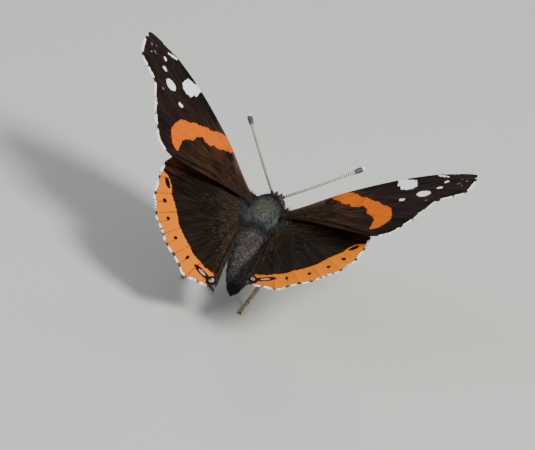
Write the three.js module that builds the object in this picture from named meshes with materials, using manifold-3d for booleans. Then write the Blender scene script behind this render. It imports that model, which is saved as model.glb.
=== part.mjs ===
// A red admiral butterfly (Vanessa atalanta) at life size, standing on four legs with its wings held up in a shallow V.
// Millimetres, +Z up, the floor at z = 0. The head points to -Y, so the insect's own left side is +X.
import * as THREE from "three";
import { mergeVertices } from "three/addons/utils/BufferGeometryUtils.js";
import Module from "manifold-3d";

const wasm = await Module();
wasm.setup();

// Driving dimensions
const FOREWING_LENGTH = 30;
const SCALE = FOREWING_LENGTH / 30;
const GAP = 0.3 * SCALE;
const STAND_HEIGHT = 9.2 * SCALE;
const BODY_PITCH = 6;
const ABDOMEN_DROOP = 20.7;
const ABDOMEN_TURN = 6.8;
const LEFT = 1;
const RIGHT = -1;

// Wing plates
const PLATE_HALF = 0.25 * SCALE;
const PLATE_HALF_ROOT = 0.36 * SCALE;
const PLATE_HALF_EDGE = 0.17 * SCALE;
const EDGE_TAPER = 1.3 * SCALE;
const ROOT_TAPER = 3.5 * SCALE;
const VEIN_STEP = 1.6 * SCALE;
const MARGIN_STEP = 1.15 * SCALE;
const FILL_STEP = 2.3 * SCALE;
const POINT_CLEARANCE = 0.3 * SCALE;

const rad = THREE.MathUtils.degToRad;
const mm = (list) => list.map(([x, y]) => [x * SCALE, y * SCALE]);

// The forewing's plan: x runs out from the root to the apex, t runs back towards the tail.
const forewingPlan = {
  costa: mm([[-1.4, 0.2], [0.6, 0], [2.4, -0.45], [4.6, -1.2], [7.7, -2.25], [10.3, -2.8], [14.6, -3.35],
    [17.5, -3.48], [20, -3.35], [23.3, -2.95], [25.6, -2.3], [28.5, -1.25], [29.6, -0.6]]),
  margin: mm([[29.9, 0.3], [29.85, 1.2], [29.5, 2.6], [28.85, 4.2], [27.2, 4.65], [25.5, 5.15], [24.4, 5.95],
    [23.7, 7.1], [22.75, 8.3], [22, 9.6], [20.6, 10.85], [19.2, 12.1], [17.2, 12.4]]),
  inner: mm([[15.3, 11.6], [12.6, 9.9], [10, 8.15], [7.4, 6.35], [5, 4.7], [2.6, 3.2], [0.9, 2.3], [-1.4, 1.9]]),
  veins: [
    { name: "costa", width: 0.5, height: 0.16, path: mm([[0.6, 0.45], [2.4, 0], [4.6, -0.75], [7.7, -1.8],
      [10.3, -2.35], [14.6, -2.9], [17.5, -3.03], [20, -2.9], [23.3, -2.5], [25.6, -1.85], [28.3, -0.85]]) },
    { name: "subcosta", width: 0.45, height: 0.14, path: mm([[0.8, 0.75], [4.8, -0.35], [10, -1.75], [14.2, -2.55]]) },
    { name: "radius", width: 0.55, height: 0.2, path: mm([[0.6, 1.05], [6, 0], [11.5, -0.75], [13.2, -0.5],
      [20, -0.8], [25, -0.25], [29.4, 0.5]]) },
    { name: "radius_1", width: 0.4, height: 0.12, path: mm([[9.6, -0.6], [13.5, -1.75], [17.2, -2.7]]) },
    { name: "radius_2", width: 0.4, height: 0.12, path: mm([[12.4, -0.75], [16, -1.6], [20, -2.55]]) },
    { name: "radius_3", width: 0.4, height: 0.12, path: mm([[17.4, -0.8], [21, -1.5], [24.2, -2.1]]) },
    { name: "radius_4", width: 0.4, height: 0.12, path: mm([[21.5, -0.7], [24.6, -1.2], [27.4, -1.3]]) },
    { name: "media_1", width: 0.45, height: 0.14, path: mm([[13.2, -0.4], [18, 0.9], [24, 1.9], [28.3, 3.7]]) },
    { name: "media_2", width: 0.45, height: 0.14, path: mm([[13, 1.3], [17, 2.7], [21.5, 4.1], [24.6, 5.1]]) },
    { name: "media_3", width: 0.45, height: 0.14, path: mm([[12.2, 3.1], [16, 4.75], [20, 6.3], [23, 7.5]]) },
    { name: "cubitus", width: 0.55, height: 0.2, path: mm([[0.6, 1.45], [4, 1.85], [7.4, 2.6], [10.6, 3.25],
      [14.5, 5.9], [18, 8], [21.7, 9.6]]) },
    { name: "cell_end", width: 0.4, height: 0.14, path: mm([[10.6, 3.25], [12.2, 3.1], [13, 1.3], [13.2, -0.4]]) },
    { name: "cubitus_2", width: 0.45, height: 0.14, path: mm([[7.4, 2.6], [11, 5.6], [15, 8.1], [20, 10.7]]) },
    { name: "anal", width: 0.45, height: 0.16, path: mm([[0.6, 1.85], [5, 3.85], [10, 7.2], [15.2, 11]]) },
  ],
  camber: ([x, t]) => 0.35 * SCALE * Math.sin(Math.PI * Math.min(1, Math.max(0, x) / 30)) * (1 - ((t - 3.5) / 7.5) ** 2),
};

// The hindwing's plan, with a fold along its inner edge that dips beside the abdomen.
const hindwingPlan = {
  costa: mm([[-1.2, -0.7], [0.6, -1.3], [2.5, -2.1], [6, -2.95], [10, -2.85], [13.2, -2.05], [15.6, -0.95]]),
  margin: mm([[16.9, 0.2], [17.3, 1.8], [17.9, 3.6], [18.05, 5.4], [18.4, 7.2], [17.95, 8.9], [17.7, 10.6],
    [16.4, 12.3], [15.4, 14.1], [13.3, 15.7], [11.5, 17.6], [9.8, 17.25], [8, 17.1], [6.6, 16.9], [5.3, 16.9]]),
  inner: mm([[4.5, 15], [3.9, 13], [3.2, 11], [2.4, 9], [1.6, 7], [1, 5], [0.5, 3], [0, 1.4], [-1.2, 0.9]]),
  veins: [
    { name: "subcosta", width: 0.45, height: 0.14, path: mm([[0.7, -0.5], [4, -1.9], [9, -2.2], [13.8, -1.2]]) },
    { name: "radius", width: 0.45, height: 0.16, path: mm([[0.7, -0.1], [3.5, -0.9], [9, -0.8], [16.3, 0.7]]) },
    { name: "media_1", width: 0.45, height: 0.14, path: mm([[4.6, -0.9], [8, 0.6], [13, 2.3], [17.4, 3.6]]) },
    { name: "media_2", width: 0.45, height: 0.14, path: mm([[6.2, -0.1], [9, 1.9], [13.5, 4.6], [17.8, 6.6]]) },
    { name: "media_3", width: 0.45, height: 0.14, path: mm([[6.3, 2.7], [10, 5.2], [14, 7.9], [17.3, 9.8]]) },
    { name: "cubitus", width: 0.5, height: 0.18, path: mm([[0.7, 0.4], [2.6, 1.3], [4.4, 2.1], [6.3, 2.7],
      [9.5, 6.6], [12.9, 10], [15.9, 12.6]]) },
    { name: "cell_end", width: 0.4, height: 0.1, path: mm([[6.3, 2.7], [6.6, 1.3], [6.2, -0.1]]) },
    { name: "cubitus_2", width: 0.45, height: 0.14, path: mm([[4.4, 2.1], [7.2, 7], [10.4, 11.4], [13.6, 14.8]]) },
    { name: "anal_1", width: 0.45, height: 0.14, path: mm([[0.6, 0.9], [3.4, 5.4], [7, 11.4], [10.8, 16.8]]) },
    { name: "anal_2", width: 0.4, height: 0.12, path: mm([[1.3, 3.4], [2.9, 7.6], [4.6, 11.6], [6.4, 16.3]]) },
  ],
  camber: ([x, t]) => {
    const fold = Math.max(0, 1 - (x - 0.27 * t + 0.4 * SCALE) / (2.6 * SCALE));
    return (0.3 * Math.sin(Math.PI * Math.min(1, Math.max(0, x) / 18)) - 0.55 * fold ** 2) * SCALE;
  },
};

// How each wing is held: root position on the thorax, rise from level, sweep back in its own plane, and tilt about its length.
const wingPoses = {
  forewing_left: { plan: forewingPlan, side: LEFT, root: [2.75, -1.1, 1.45], rise: 41.4, sweep: 3.9, tilt: -1.1 },
  forewing_right: { plan: forewingPlan, side: RIGHT, root: [2.75, -1.05, 1.4], rise: 37.7, sweep: -4.9, tilt: -0.8 },
  hindwing_left: { plan: hindwingPlan, side: LEFT, root: [2.55, 1.85, 0.45], rise: 34.1, sweep: 27, tilt: -3 },
  hindwing_right: { plan: hindwingPlan, side: RIGHT, root: [2.55, 1.9, 0.4], rise: 31.7, sweep: 14.3, tilt: 2.6 },
};

const colours = {
  wingBrown: { color: 0x2b1a12, roughness: 0.7, metalness: 0 },
  bodyFur: { color: 0x3a3834, roughness: 0.85, metalness: 0 },
  abdomenFur: { color: 0x4a4140, roughness: 0.8, metalness: 0 },
  eye: { color: 0x2a1710, roughness: 0.3, metalness: 0 },
  leg: { color: 0x8a7560, roughness: 0.6, metalness: 0 },
  palp: { color: 0x5a4438, roughness: 0.8, metalness: 0 },
  antenna: { color: 0x1c1a19, roughness: 0.5, metalness: 0 },
};

// Turns a list of triangles, each three [x, y, z] points, into a geometry.
function geometryOf(triangles) {
  const geometry = new THREE.BufferGeometry();
  geometry.setAttribute("position", new THREE.Float32BufferAttribute(triangles.flat(2), 3));
  return geometry;
}

function solidOf(geometry) {
  const bare = geometry.index ? geometry.toNonIndexed() : geometry.clone();
  bare.deleteAttribute("normal");
  bare.deleteAttribute("uv");
  const merged = mergeVertices(bare, 1e-4);
  return new wasm.Manifold(new wasm.Mesh({
    numProp: 3,
    vertProperties: merged.attributes.position.array,
    triVerts: new Uint32Array(merged.index.array),
  }));
}

// The solid's largest closed body as a geometry.
function geometryOfSolid(solid) {
  const bodies = solid.decompose();
  const kept = bodies.reduce((a, b) => (b.volume() > a.volume() ? b : a));
  const { vertProperties, triVerts, numProp } = kept.getMesh();
  const positions = new Float32Array((vertProperties.length / numProp) * 3);
  for (let i = 0; i < positions.length / 3; i++)
    positions.set(vertProperties.subarray(i * numProp, i * numProp + 3), i * 3);
  const geometry = new THREE.BufferGeometry();
  geometry.setAttribute("position", new THREE.BufferAttribute(positions, 3));
  geometry.setIndex(new THREE.BufferAttribute(new Uint32Array(triVerts), 1));
  return geometry;
}

// Delaunay triangles of a set of 2-D points, as index triples, by adding one point at a time.
function delaunay(points) {
  const far = 1000;
  const all = [...points, [-far, -far], [far, -far], [0, far]];
  const n = points.length;
  const circle = (a, b, c) => {
    const [ax, ay] = all[a];
    const [bx, by] = [all[b][0] - ax, all[b][1] - ay];
    const [cx, cy] = [all[c][0] - ax, all[c][1] - ay];
    const d = 2 * (bx * cy - by * cx);
    const ux = (cy * (bx * bx + by * by) - by * (cx * cx + cy * cy)) / d;
    const uy = (bx * (cx * cx + cy * cy) - cx * (bx * bx + by * by)) / d;
    return { a, b, c, x: ax + ux, y: ay + uy, r2: ux * ux + uy * uy };
  };
  let triangles = [circle(n, n + 1, n + 2)];
  points.forEach(([px, py], i) => {
    const edges = new Map();
    triangles = triangles.filter((t) => {
      if ((px - t.x) ** 2 + (py - t.y) ** 2 >= t.r2) return true;
      for (const [u, v] of [[t.a, t.b], [t.b, t.c], [t.c, t.a]]) {
        const back = v + "_" + u;
        if (edges.has(back)) edges.delete(back);
        else edges.set(u + "_" + v, [u, v]);
      }
      return false;
    });
    for (const [u, v] of edges.values()) triangles.push(circle(u, v, i));
  });
  return triangles.filter((t) => t.a < n && t.b < n && t.c < n).map((t) => [t.a, t.b, t.c]);
}

const distance = (a, b) => Math.hypot(a[0] - b[0], a[1] - b[1]);

function insideOutline([x, y], outline) {
  let inside = false;
  outline.forEach(([ax, ay], i) => {
    const [bx, by] = outline[(i + 1) % outline.length];
    if (ay > y !== by > y && x < ((bx - ax) * (y - ay)) / (by - ay) + ax) inside = !inside;
  });
  return inside;
}

function distanceToOutline(p, outline) {
  return Math.min(...outline.map((a, i) => {
    const b = outline[(i + 1) % outline.length];
    const along = ((p[0] - a[0]) * (b[0] - a[0]) + (p[1] - a[1]) * (b[1] - a[1])) / distance(a, b) ** 2;
    const s = Math.min(1, Math.max(0, along));
    return distance(p, [a[0] + s * (b[0] - a[0]), a[1] + s * (b[1] - a[1])]);
  }));
}

// Points along a smooth curve through the given ones, about one step apart, with the direction at each.
function alongCurve(path, step) {
  const curve = new THREE.SplineCurve(path.map(([x, y]) => new THREE.Vector2(x, y)));
  const count = Math.max(2, Math.round(curve.getLength() / step));
  return Array.from({ length: count + 1 }, (_, i) => {
    const at = curve.getPointAt(i / count);
    const way = curve.getTangentAt(i / count);
    return { at: [at.x, at.y], way: [way.x, way.y], share: i / count };
  });
}

// The plate's points in plan, each with the height of the vein ridge on it.
function platePoints(plan) {
  const smooth = (path) => alongCurve(path, MARGIN_STEP).map((p) => p.at);
  const outline = [
    ...smooth(plan.costa),
    ...plan.margin,
    ...smooth(plan.inner),
  ];
  const placed = outline.map((at) => ({ at, ridge: 0 }));
  const add = (at, ridge, clearance) => {
    if (!insideOutline(at, outline) || distanceToOutline(at, outline) < POINT_CLEARANCE) return;
    if (placed.every((p) => distance(p.at, at) >= clearance)) placed.push({ at, ridge });
  };
  const lines = plan.veins.map((vein) => ({ ...vein, steps: alongCurve(vein.path, VEIN_STEP) }));
  for (const { steps, height } of lines)
    for (const { at, share } of steps) add(at, height * SCALE * (1 - 0.35 * share), POINT_CLEARANCE);
  for (const { steps, width } of lines)
    for (const { at, way, share } of steps)
      for (const hand of [-1, 1]) {
        const reach = hand * width * SCALE * (1 - 0.2 * share);
        add([at[0] - way[1] * reach, at[1] + way[0] * reach], 0, POINT_CLEARANCE);
      }
  for (let row = 0; row < 30; row++)
    for (let column = 0; column < 30; column++)
      add([(column + (row % 2) / 2) * FILL_STEP - 3, row * FILL_STEP * 0.87 - 6], 0, FILL_STEP * 0.55);
  return { outline, placed };
}

// A wing as one closed plate, split into triangles alike on both faces, with its veins raised on both.
function wingGeometry(plan) {
  const { outline, placed } = platePoints(plan);
  const triangles = delaunay(placed.map((p) => p.at)).filter((t) => {
    const centre = [0, 1].map((k) => (placed[t[0]].at[k] + placed[t[1]].at[k] + placed[t[2]].at[k]) / 3);
    return insideOutline(centre, outline);
  });
  const faces = placed.map(({ at, ridge }) => {
    const edge = Math.min(1, distanceToOutline(at, outline) / EDGE_TAPER);
    const root = Math.max(0, 1 - Math.max(0, at[0]) / ROOT_TAPER);
    const half = PLATE_HALF_EDGE + (PLATE_HALF - PLATE_HALF_EDGE) * edge + (PLATE_HALF_ROOT - PLATE_HALF) * root;
    const middle = plan.camber(at);
    return { top: [...at, middle + half + ridge], under: [...at, middle - half - 0.7 * ridge] };
  });
  const made = [];
  const edges = new Map();
  for (const [a, b, c] of triangles) {
    made.push([faces[a].top, faces[b].top, faces[c].top]);
    made.push([faces[a].under, faces[c].under, faces[b].under]);
    for (const [u, v] of [[a, b], [b, c], [c, a]]) {
      if (edges.has(v + "_" + u)) edges.delete(v + "_" + u);
      else edges.set(u + "_" + v, [u, v]);
    }
  }
  for (const [u, v] of edges.values()) {
    made.push([faces[u].top, faces[u].under, faces[v].under]);
    made.push([faces[u].top, faces[v].under, faces[v].top]);
  }
  return geometryOf(made);
}

// The same shape on the other side of the body.
function mirrored(geometry) {
  const bare = geometry.index ? geometry.toNonIndexed() : geometry.clone();
  const p = bare.attributes.position;
  const flipped = [];
  for (let i = 0; i < p.count; i += 3)
    flipped.push([i, i + 2, i + 1].map((k) => [-p.getX(k), p.getY(k), p.getZ(k)]));
  return geometryOf(flipped);
}

// A closed round form from rings of points, with a point at each end.
function skinOf(rings, first, last) {
  const made = [];
  const sides = rings[0].length;
  for (let k = 0; k < sides; k++) {
    const next = (k + 1) % sides;
    made.push([first, rings[0][next], rings[0][k]]);
    for (let i = 0; i + 1 < rings.length; i++) {
      made.push([rings[i][k], rings[i][next], rings[i + 1][next]]);
      made.push([rings[i][k], rings[i + 1][next], rings[i + 1][k]]);
    }
    const end = rings[rings.length - 1];
    made.push([last, end[k], end[next]]);
  }
  return geometryOf(made);
}

// A body section lofted along +Y: each station is [y, half width, height above, depth below, middle height].
function lofted(stations, sides, grow = 0) {
  const rings = stations.slice(1, -1).map(([y, wide, above, below, middle]) =>
    Array.from({ length: sides }, (_, k) => {
      const a = (2 * Math.PI * k) / sides;
      const rise = Math.sin(a) > 0 ? above : below;
      return [(wide * SCALE + grow) * Math.cos(a), y * SCALE, middle * SCALE + (rise * SCALE + grow) * Math.sin(a)];
    }));
  const [y0, , , , z0] = stations[0];
  const [y1, , , , z1] = stations[stations.length - 1];
  return skinOf(rings.map((r) => [...r].reverse()), [0, y0 * SCALE - grow, z0 * SCALE], [0, y1 * SCALE + grow, z1 * SCALE]);
}

// A round limb along a path of [x, y, z, radius] points.
function limb(path, sides) {
  const points = path.map(([x, y, z]) => new THREE.Vector3(x, y, z));
  const way = (i) => {
    const before = points[Math.max(0, i - 1)];
    const after = points[Math.min(points.length - 1, i + 1)];
    return after.clone().sub(before).normalize();
  };
  let side = new THREE.Vector3(0, 0, 1).cross(way(0));
  if (side.length() < 0.1) side = new THREE.Vector3(1, 0, 0);
  const rings = points.map((p, i) => {
    const along = way(i);
    side.sub(along.clone().multiplyScalar(side.dot(along))).normalize();
    const up = along.clone().cross(side);
    return Array.from({ length: sides }, (_, k) => {
      const a = (2 * Math.PI * k) / sides;
      return p.clone()
        .addScaledVector(side, path[i][3] * Math.cos(a))
        .addScaledVector(up, path[i][3] * Math.sin(a))
        .toArray();
    });
  });
  const first = points[0].clone().addScaledVector(way(0), -0.4 * path[0][3]);
  const end = path.length - 1;
  const last = points[end].clone().addScaledVector(way(end), 0.4 * path[end][3]);
  return skinOf(rings, first.toArray(), last.toArray());
}

// Thorax: collar, domed middle back and the smaller rear segment, with the fur's depth included.
const thoraxStations = [
  [-4.1, 0, 0, 0, 0.1], [-3.95, 0.85, 0.8, 0.9, 0.1], [-3.5, 1.55, 1.5, 1.6, 0.15], [-2.7, 2.15, 2.2, 2.3, 0.1],
  [-1.6, 2.65, 2.85, 2.8, 0], [-0.4, 2.9, 3.2, 3, -0.05], [0.8, 2.85, 3.15, 3, -0.1], [2, 2.6, 2.75, 2.8, -0.2],
  [3, 2.2, 2.2, 2.4, -0.35], [3.8, 1.6, 1.5, 1.7, -0.5], [4.2, 0.8, 0.7, 0.9, -0.6], [4.35, 0, 0, 0, -0.6],
];
const thoraxGeometry = (grow = 0) => lofted(thoraxStations, 20, grow);

// Abdomen: eight ringed segments that swell and then narrow to a dark blunt tip.
const ABDOMEN_SEGMENTS = 8;
const SEGMENT_LENGTH = 1.39;
const abdomenStations = (() => {
  const radiusAt = (s) => 1.35 + 1.05 * Math.sin(Math.PI * Math.min(1, 0.12 + s * 0.8)) - 0.75 * s ** 3;
  const stations = [[-0.6, 0, 0, 0, 0], [-0.4, 0.9, 0.9, 0.9, 0]];
  for (let i = 0; i < ABDOMEN_SEGMENTS; i++)
    for (const [share, swell] of [[0.12, 0], [0.55, 0.1], [0.9, 0.12], [1, -0.02]]) {
      const s = (i + share) / ABDOMEN_SEGMENTS;
      const r = radiusAt(s) + swell * (1 - 0.4 * s);
      stations.push([(i + share) * SEGMENT_LENGTH, r, r * 0.94, r * 0.98, 0]);
    }
  const end = ABDOMEN_SEGMENTS * SEGMENT_LENGTH;
  stations.push([end + 0.35, 0.62, 0.6, 0.6, -0.05], [end + 0.75, 0.35, 0.35, 0.35, -0.05], [end + 0.9, 0, 0, 0, -0.05]);
  return stations;
})();
const abdomenGeometry = (grow = 0) => lofted(abdomenStations, 16, grow);

// Head: a short rounded capsule, tucked low against the thorax; the eyes bulge from its sides.
const HEAD_PLACE = [-0.2, -4.65, -0.5];
const HEAD_NOD = 8;
const EYE_PLACE = [0.98, -0.05, 0];
const EYE_RADII = [0.8, 1.05, 1.12];
const headStations = [
  [-1.5, 0, 0, 0, -0.1], [-1.35, 0.5, 0.55, 0.6, -0.1], [-1, 0.85, 0.95, 1.05, -0.05], [-0.4, 1.05, 1.25, 1.35, 0],
  [0.3, 1.05, 1.25, 1.35, 0], [0.9, 0.85, 1, 1.1, 0], [1.2, 0.5, 0.6, 0.6, 0], [1.3, 0, 0, 0, 0],
];
const headGeometry = (grow = 0) => lofted(headStations, 16, grow);

function eyeGeometry() {
  const eye = new THREE.SphereGeometry(1, 16, 12);
  eye.scale(...EYE_RADII.map((radius) => radius * SCALE));
  return eye;
}

// The tree of groups: the insect stands on the floor, its body pitched head up, and head, wings and abdomen hang on the thorax.
const model = new THREE.Group();
const insect = new THREE.Group();
model.add(insect);
const body = new THREE.Group();
body.position.z = STAND_HEIGHT;
body.rotation.x = -rad(BODY_PITCH);
insect.add(body);

function named(name, geometry, finish, parent) {
  const mesh = new THREE.Mesh(geometry, new THREE.MeshStandardMaterial(finish));
  mesh.name = name;
  parent.add(mesh);
  return mesh;
}

// Cuts a mesh clear of grown forms that stand in other frames.
function carve(mesh, ...cutters) {
  model.updateMatrixWorld(true);
  let solid = solidOf(mesh.geometry);
  for (const { geometry, frame } of cutters) {
    const toMesh = mesh.matrixWorld.clone().invert().multiply(frame.matrixWorld);
    solid = solid.subtract(solidOf(geometry.clone().applyMatrix4(toMesh)));
  }
  mesh.geometry = geometryOfSolid(solid);
}

// Body
const thorax = named("thorax", thoraxGeometry(), colours.bodyFur, body);
const thoraxCutter = { geometry: thoraxGeometry(GAP), frame: thorax };

const abdomen = named("abdomen", abdomenGeometry(), colours.abdomenFur, body);
abdomen.position.set(0, 3.3 * SCALE, -0.75 * SCALE);
abdomen.rotation.set(-rad(ABDOMEN_DROOP), 0, rad(ABDOMEN_TURN), "ZXY");
carve(abdomen, thoraxCutter);
const abdomenCutter = { geometry: abdomenGeometry(GAP), frame: abdomen };

const head = named("head", headGeometry(), colours.bodyFur, body);
head.position.set(...HEAD_PLACE.map((value) => value * SCALE));
head.rotation.x = rad(HEAD_NOD);
carve(head, thoraxCutter);
const headCutter = { geometry: headGeometry(GAP), frame: head };

// Everything that grows from the head shares its frame.
function onHead(name, geometry, finish) {
  const mesh = named(name, geometry, finish, body);
  mesh.position.copy(head.position);
  mesh.rotation.copy(head.rotation);
  carve(mesh, headCutter, thoraxCutter);
  return mesh;
}

const scaled = (path, side = 1) => path.map(([x, y, z, r]) => [side * x * SCALE, y * SCALE, z * SCALE, r * SCALE]);

// Feelers: a thin ringed shaft that swells into a club, blunt at the tip.
const FEELER_LENGTH = 14.8;
const FEELER_ROOT = [0.62, -0.45, 0.95];
const FEELER_WAY = new THREE.Vector3(0.6125, -0.7046, 0.3584).normalize();
const FEELER_SAG = 0.2;
const FEELER_RADIUS = 0.25;
const CLUB_RADIUS = 0.46;
function feelerPath() {
  const sections = [[-0.05, 0.3], [0, 0.34], [0.03, 0.3], [0.05, 0.25], [0.2, 0.25], [0.35, 0.25], [0.5, 0.25], [0.65, 0.25],
    [0.8, 0.26], [0.86, 0.32], [0.9, 0.42], [0.94, CLUB_RADIUS], [0.97, 0.44], [0.99, 0.36], [1, 0.22]];
  return sections.map(([share, radius]) => {
    const along = share * FEELER_LENGTH;
    const sag = FEELER_SAG * Math.sin(Math.PI * Math.max(0, share));
    return [
      FEELER_ROOT[0] + FEELER_WAY.x * along,
      FEELER_ROOT[1] + FEELER_WAY.y * along,
      FEELER_ROOT[2] + FEELER_WAY.z * along - sag,
      Math.max(radius, FEELER_RADIUS),
    ];
  });
}

// Palps: two upturned brushes in front of the face.
const palpPath = [[0.36, -0.75, -0.95, 0.28], [0.42, -1.3, -0.85, 0.36], [0.46, -1.8, -0.55, 0.38], [0.45, -2.1, -0.15, 0.34],
  [0.4, -2.3, 0.2, 0.26], [0.36, -2.4, 0.55, 0.15]];

// Proboscis: coiled flat under the face, between the palps.
const COIL_TURNS = 1.3;
const COIL_CENTRE = [0, -0.9, -2.45];
const COIL_START = 0.55 * Math.PI;
const COIL_REACH = 1.3;
const COIL_TIGHTENING = 0.85;
const COIL_RADIUS = 0.25;
function coilPath() {
  const steps = 26;
  return Array.from({ length: steps + 1 }, (_, i) => {
    const share = i / steps;
    const angle = COIL_START + share * COIL_TURNS * 2 * Math.PI;
    const reach = COIL_REACH - COIL_TIGHTENING * share;
    return [0, COIL_CENTRE[1] + reach * Math.cos(angle), COIL_CENTRE[2] + reach * Math.sin(angle), COIL_RADIUS];
  });
}

for (const [label, side] of [["left", LEFT], ["right", RIGHT]]) {
  const [eyeX, eyeY, eyeZ] = EYE_PLACE;
  onHead("eye_" + label, eyeGeometry().translate(side * eyeX * SCALE, eyeY * SCALE, eyeZ * SCALE), colours.eye);
  onHead("palp_" + label, limb(scaled(palpPath, side), 8), colours.palp);
  onHead("antenna_" + label, limb(scaled(feelerPath(), side), 8), colours.antenna);
}
onHead("proboscis", limb(scaled(coilPath()), 8), colours.palp);

// Wings
for (const [name, { plan, side, root, rise, sweep, tilt }] of Object.entries(wingPoses)) {
  const flat = wingGeometry(plan);
  const turn = new THREE.Matrix4().makeRotationY(-rad(rise))
    .multiply(new THREE.Matrix4().makeRotationX(rad(tilt)))
    .multiply(new THREE.Matrix4().makeRotationZ(rad(sweep)));
  flat.applyMatrix4(turn).translate(...root.map((v) => v * SCALE));
  const wing = named(name, side === LEFT ? flat : mirrored(flat), colours.wingBrown, body);
  carve(wing, thoraxCutter, abdomenCutter);
}

// Legs, in the insect's own frame: hip, knee, ankle and a toe that lies on the floor.
const TOE_HEIGHT = 0.22;
const legPaths = {
  midleg_left: { side: LEFT, path: [[0.95, 0.5, 7.1, 0.6], [1.3, 0.4, 6, 0.55], [1.7, 0.1, 5.1, 0.42], [2.2, -0.2, 5, 0.4],
    [4.2, -1.6, 6.2, 0.42], [6.1, -2.9, 7.3, 0.33], [6.5, -3.15, 7.2, 0.3], [7.2, -3.5, 5, 0.3], [7.9, -3.9, 2.4, 0.28],
    [8.15, -4.1, 1.4, 0.27], [8.4, -4.6, 0.6, 0.26], [8.6, -5.1, TOE_HEIGHT, 0.26], [8.75, -5.8, TOE_HEIGHT, 0.26],
    [8.85, -6.5, TOE_HEIGHT, 0.26], [8.9, -6.95, TOE_HEIGHT + 0.02, 0.2]] },
  hindleg_left: { side: LEFT, path: [[0.9, 2.4, 6.9, 0.6], [1.3, 2.6, 5.8, 0.55], [1.8, 3, 4.9, 0.42], [2.3, 3.4, 4.9, 0.4],
    [4.1, 4.9, 6.3, 0.42], [5.9, 6.3, 7.3, 0.33], [6.3, 6.6, 7.1, 0.3], [6.5, 7.2, 4.8, 0.3], [6.6, 7.8, 2.3, 0.28],
    [6.65, 8.05, 1.3, 0.27], [6.7, 8.4, 0.6, 0.26], [6.75, 8.9, TOE_HEIGHT, 0.26], [6.7, 9.5, TOE_HEIGHT, 0.26],
    [6.6, 10.1, TOE_HEIGHT, 0.26], [6.5, 10.5, TOE_HEIGHT + 0.02, 0.2]] },
  hindleg_right: { side: RIGHT, path: [[0.9, 2.4, 6.9, 0.6], [1.3, 2.6, 5.8, 0.55], [1.7, 3, 4.9, 0.42], [2.2, 3.5, 4.9, 0.4],
    [3.6, 5.6, 6.3, 0.42], [4.8, 7.7, 7.3, 0.33], [4.9, 8.1, 7.1, 0.3], [4.45, 8.95, 4.8, 0.3], [3.95, 9.85, 2.3, 0.28],
    [3.75, 10.15, 1.3, 0.27], [3.6, 10.5, 0.6, 0.26], [3.5, 10.95, TOE_HEIGHT, 0.26], [3.45, 11.6, TOE_HEIGHT, 0.26],
    [3.45, 12.3, TOE_HEIGHT, 0.26], [3.45, 12.75, TOE_HEIGHT + 0.02, 0.2]] },
  foreleg_left: { side: LEFT, path: [[0.9, -2.7, 7.3, 0.36], [1.1, -3.5, 6.6, 0.33], [1.3, -4.6, 6.1, 0.3], [1.4, -5.7, 5.9, 0.28],
    [1.45, -6, 5.7, 0.27], [1.5, -5.6, 5.3, 0.29], [1.55, -4.6, 5.1, 0.3], [1.55, -3.6, 5.05, 0.27], [1.5, -2.8, 5.1, 0.2]] },
};
legPaths.midleg_right = { side: RIGHT, path: legPaths.midleg_left.path };
legPaths.foreleg_right = { side: RIGHT, path: legPaths.foreleg_left.path };

const floor = new THREE.BoxGeometry(60 * SCALE, 60 * SCALE, 10 * SCALE).translate(0, 0, -5 * SCALE);
for (const [name, { side, path }] of Object.entries(legPaths)) {
  const leg = named(name, limb(scaled(path, side), 8), colours.leg, insect);
  carve(leg, thoraxCutter, { geometry: floor, frame: insect });
}

// The origin is on the floor, under the middle of the whole insect.
model.updateMatrixWorld(true);
const middle = new THREE.Box3().setFromObject(model, true).getCenter(new THREE.Vector3());
insect.position.set(-middle.x, -middle.y, 0);

export default model;
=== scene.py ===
# %% [markdown]
# # A red admiral butterfly, dressed over its frame
#
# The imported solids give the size, the pose and the place of every part of the insect.
# This script loads them as a fixed frame, then makes what the eye sees: wings with their
# scales and fringes, one furry skin for the body, ringed feelers and jointed legs.
# All sizes below are in millimetres and are turned to Blender's metres at the last moment.

# %% The frame and the tools
import math
from types import SimpleNamespace
import bpy
import numpy as np
from mathutils import Matrix, Vector


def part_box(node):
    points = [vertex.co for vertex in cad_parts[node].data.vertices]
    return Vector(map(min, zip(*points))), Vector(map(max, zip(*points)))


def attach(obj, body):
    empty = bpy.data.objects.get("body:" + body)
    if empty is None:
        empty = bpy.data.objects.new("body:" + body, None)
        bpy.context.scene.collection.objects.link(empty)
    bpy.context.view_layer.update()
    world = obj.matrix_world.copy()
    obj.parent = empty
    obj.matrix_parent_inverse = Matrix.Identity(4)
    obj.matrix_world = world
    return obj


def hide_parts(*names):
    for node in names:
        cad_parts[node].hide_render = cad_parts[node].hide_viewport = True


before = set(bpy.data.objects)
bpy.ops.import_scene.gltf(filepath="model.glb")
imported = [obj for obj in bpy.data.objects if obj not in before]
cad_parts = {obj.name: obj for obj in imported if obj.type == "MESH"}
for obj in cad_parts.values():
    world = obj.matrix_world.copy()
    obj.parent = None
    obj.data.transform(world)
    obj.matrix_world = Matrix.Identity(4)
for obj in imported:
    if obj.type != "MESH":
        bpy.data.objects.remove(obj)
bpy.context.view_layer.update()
MM = 0.001
bpy.ops.object.select_all(action="DESELECT")

# %% [markdown]
# ## Where the insect stands
#
# The thorax is the middle of everything: the wings, head and abdomen are all placed from it,
# and the whole body is pitched a few degrees head up. The thorax's own box says where it is.

# %% The body's place
BODY_PITCH = 6
LEFT, RIGHT = 1, -1
SIDES = ((LEFT, "left"), (RIGHT, "right"))
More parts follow.
